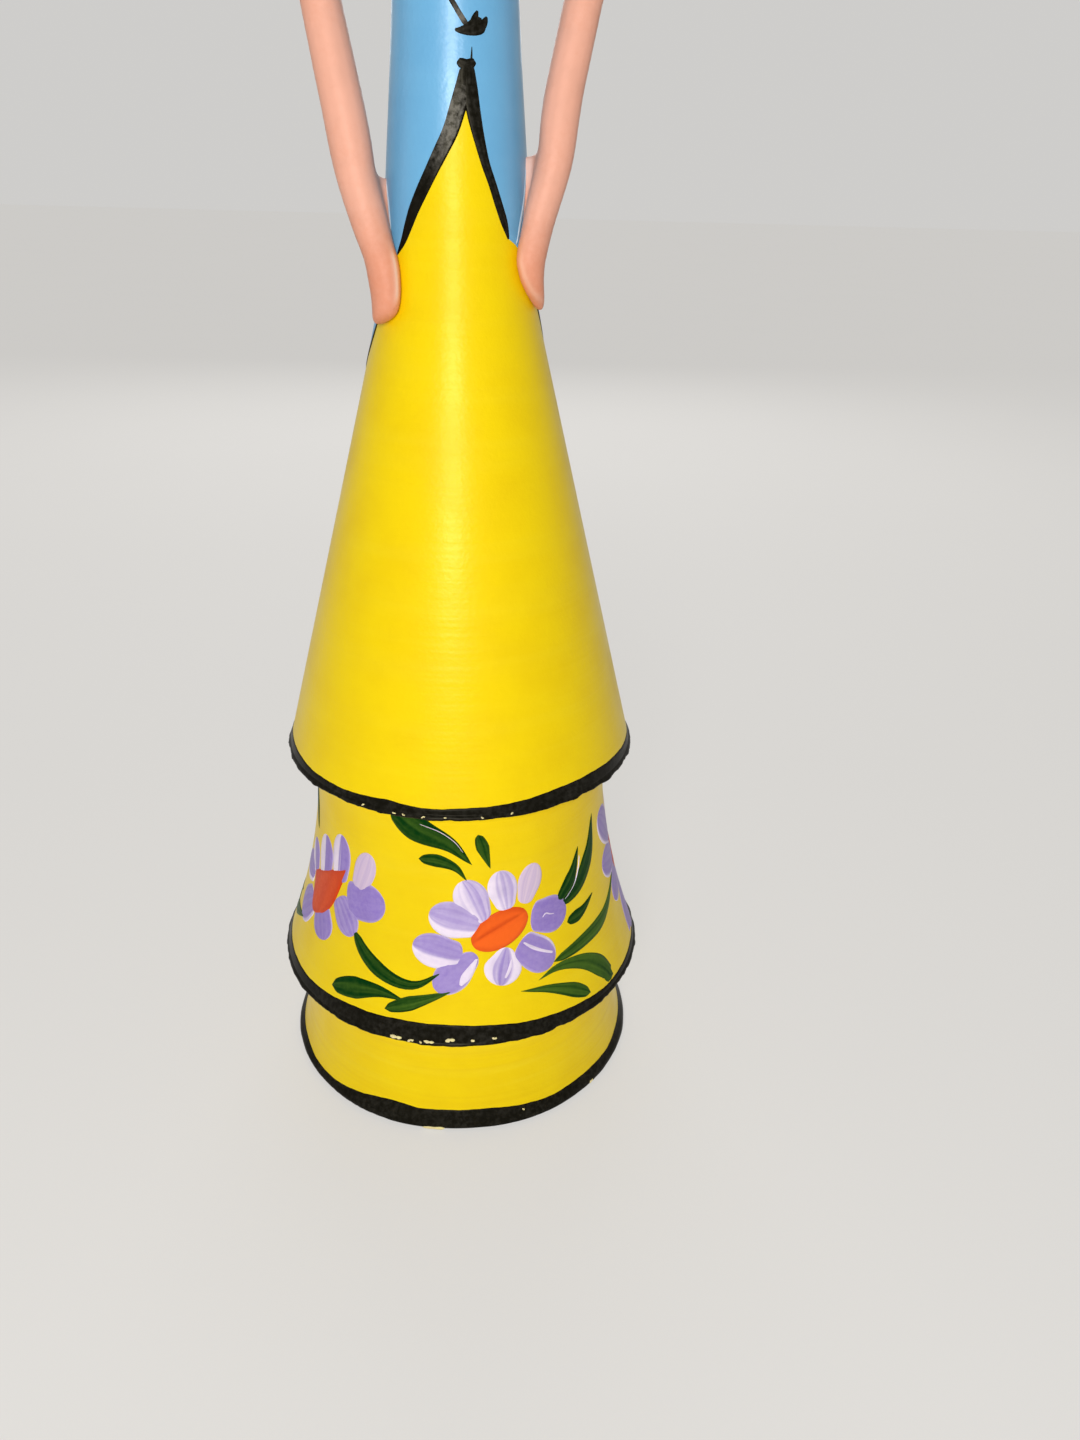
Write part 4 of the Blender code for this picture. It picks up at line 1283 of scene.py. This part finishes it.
for k in range(STRANDS):
    from_middle = k - STRANDS // 2
    line = [(180.0 + spread * from_middle, height, width) for spread, height, width in NAPE]
    hair.stroke(HEAD, line, HAIR_LIFT + 0.12, strand_tone(0.7), k, 7, 30)
hair.piece("painted_hair", HAIR_PAINT, "head", "hair_paint")

nose_mesh = softened("nose", *SOFTNESS["nose"])
set_tone(nose_mesh, np.full(len(nose_mesh.vertices), 0.25))
nose = add_piece("painted_nose", nose_mesh, SKIN_PAINT, "head")
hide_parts("nose")

# The bun sits on its dowel behind the crown, and its hair is coiled round that axis, with painted shade in
# the grooves between the coils
BUN_ELEVATION = math.radians(42.0)
BUN_RISE = 3.6
BUN_REACH = 7.2
COIL_PITCH = 3.4
COIL_DEPTH = 0.5
STRAND_DEPTH = 0.05
STRANDS_PER_COIL = 3.0

bun_mesh = softened("hair_bun", *SOFTNESS["bun"])
bun_places = corners_of(bun_mesh)
bun_out = np.array([0.0, math.cos(BUN_ELEVATION), math.sin(BUN_ELEVATION)])
bun_up = np.array([0.0, -math.sin(BUN_ELEVATION), math.cos(BUN_ELEVATION)])
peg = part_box("bun_dowel")
bun_middle = np.array((peg[0] + peg[1]) / 2) / MM + BUN_RISE * bun_out
from_middle = bun_places - bun_middle
bun_side = from_middle[:, 0]
bun_rise = from_middle @ bun_up
polar = np.arctan2(np.hypot(bun_side, bun_rise), from_middle @ bun_out)
coil = BUN_REACH * polar / COIL_PITCH - np.arctan2(bun_rise, bun_side) / (2.0 * np.pi)
ridge = np.sqrt(np.abs(np.sin(np.pi * coil)))
strands = 0.5 + 0.5 * wave(coil * 2.0 * np.pi * STRANDS_PER_COIL, 2.0)
outward = from_middle / np.linalg.norm(from_middle, axis=1)[:, None]
pressed = COIL_DEPTH * (1.0 - ridge) + STRAND_DEPTH * strands
move_corners(bun_mesh, bun_places - outward * pressed[:, None])
# Painted shade: darker in the grooves between the coils, lighter on their crests
set_tone(bun_mesh, np.clip(0.05 + 0.45 * ridge + 0.3 * strands * ridge, 0.0, 1.0))
bun = add_piece("painted_bun", bun_mesh, HAIR_PAINT, "head")
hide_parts("hair_bun")

for name in ("neck_dowel", "shoulder_dowel", "bun_dowel"):
    NODES[name].data.materials.clear()
    NODES[name].data.materials.append(BARE_WOOD)


# Stage: camera, lights and floor

CAMERA_PLACE = Vector((0.0, -0.1606, 0.14295))
PITCH = math.radians(26.84)
YAW = math.radians(4.66)
ROLL = math.radians(1.66)
LONG_SIDE = 1440.0
FOCAL = 1082.0
SENSOR = 36.0

forward = Vector((math.sin(YAW) * math.cos(PITCH), math.cos(YAW) * math.cos(PITCH), -math.sin(PITCH)))
level = Vector((math.cos(YAW), -math.sin(YAW), 0.0))
upward = level.cross(forward)
right = math.cos(ROLL) * level + math.sin(ROLL) * upward
top = -math.sin(ROLL) * level + math.cos(ROLL) * upward
camera_data = bpy.data.cameras.new("camera")
camera_data.sensor_width = SENSOR
camera_data.lens = FOCAL / LONG_SIDE * SENSOR
camera_data.clip_start = 0.005
camera = placed("camera", camera_data)
camera.matrix_world = Matrix((right, top, -forward)).transposed().to_4x4()
camera.location = CAMERA_PLACE
bpy.context.scene.camera = camera


def lamp(name, place, aim, width, height, power):
    """A soft rectangular lamp that the camera doesn't see."""
    data = bpy.data.lights.new(name, "AREA")
    data.shape = "RECTANGLE"
    data.size = width
    data.size_y = height
    data.energy = power
    made = placed(name, data)
    made.location = place
    made.rotation_mode = "QUATERNION"
    made.rotation_quaternion = (Vector(aim) - Vector(place)).to_track_quat("-Z", "Y")
    made.visible_camera = False


lamp("key", (-0.040, -0.32, 0.20), (0.0, 0.0, 0.09), 0.09, 0.12, 0.82)
lamp("back", (0.0, 0.60, 0.40), (0.0, 0.0, 0.12), 0.50, 0.40, 1.6)


def seen_directly(tree):
    """One where the camera, a reflection or a clear material sees the surroundings."""
    path = tree.nodes.new("ShaderNodeLightPath")
    share = path.outputs["Is Camera Ray"]
    for name in ("Is Glossy Ray", "Is Transmission Ray"):
        share = add_node(tree, "Math", "Value", {0: share, 1: path.outputs[name]}, operation="MAXIMUM")
    return share


def mix_surface(tree, share, plain, shown, output):
    """Mixes a second shader into the surface, by a share."""
    mixed = add_node(tree, "MixShader", "Shader", {0: share, 1: plain, 2: shown})
    tree.links.new(mixed, tree.nodes[output].inputs["Surface"])


FLOOR_HALF = 4.0
FLOOR_COLOURS = (0.78, 0.76, 0.73), (0.74, 0.72, 0.69)
FLOOR_GLOW = (0.80, 0.785, 0.76)
FLOOR_GLOW_SHARE = 0.65
SURROUND_COLOUR = (1.0, 0.98, 0.95, 1.0)
SURROUND_STRENGTH = 0.30
BACKDROP = (0.62, 0.612, 0.598)

floor_mesh = bpy.data.meshes.new("floor")
floor_corners = [(FLOOR_HALF * x, FLOOR_HALF * y, 0.0) for x, y in ((-1, -1), (1, -1), (1, 1), (-1, 1))]
floor_mesh.from_pydata(floor_corners, [], [(0, 1, 2, 3)])
floor_look = Look("floor", 0.8)
floor_look.finish(floor_look.mix(floor_look.noise(9.0, detail=3.0), *FLOOR_COLOURS))
glow = floor_look.node("Emission", "Emission", {"Color": FLOOR_GLOW})
glow_share = floor_look.math("MULTIPLY", seen_directly(floor_look.tree), FLOOR_GLOW_SHARE)
mix_surface(floor_look.tree, glow_share, floor_look.shader.outputs["BSDF"], glow, "Material Output")
floor_mesh.materials.append(floor_look.material)
floor = placed("floor", floor_mesh)

world = bpy.data.worlds.new("studio")
world.use_nodes = True
bpy.context.scene.world = world
studio = world.node_tree
surround = studio.nodes["Background"]
surround.inputs["Color"].default_value = SURROUND_COLOUR
surround.inputs["Strength"].default_value = SURROUND_STRENGTH
backdrop = add_node(studio, "Background", "Background", {"Color": BACKDROP})
mix_surface(studio, seen_directly(studio), surround.outputs["Background"], backdrop, "World Output")

bpy.context.scene.view_settings.view_transform = "Standard"

bpy.context.view_layer.update()
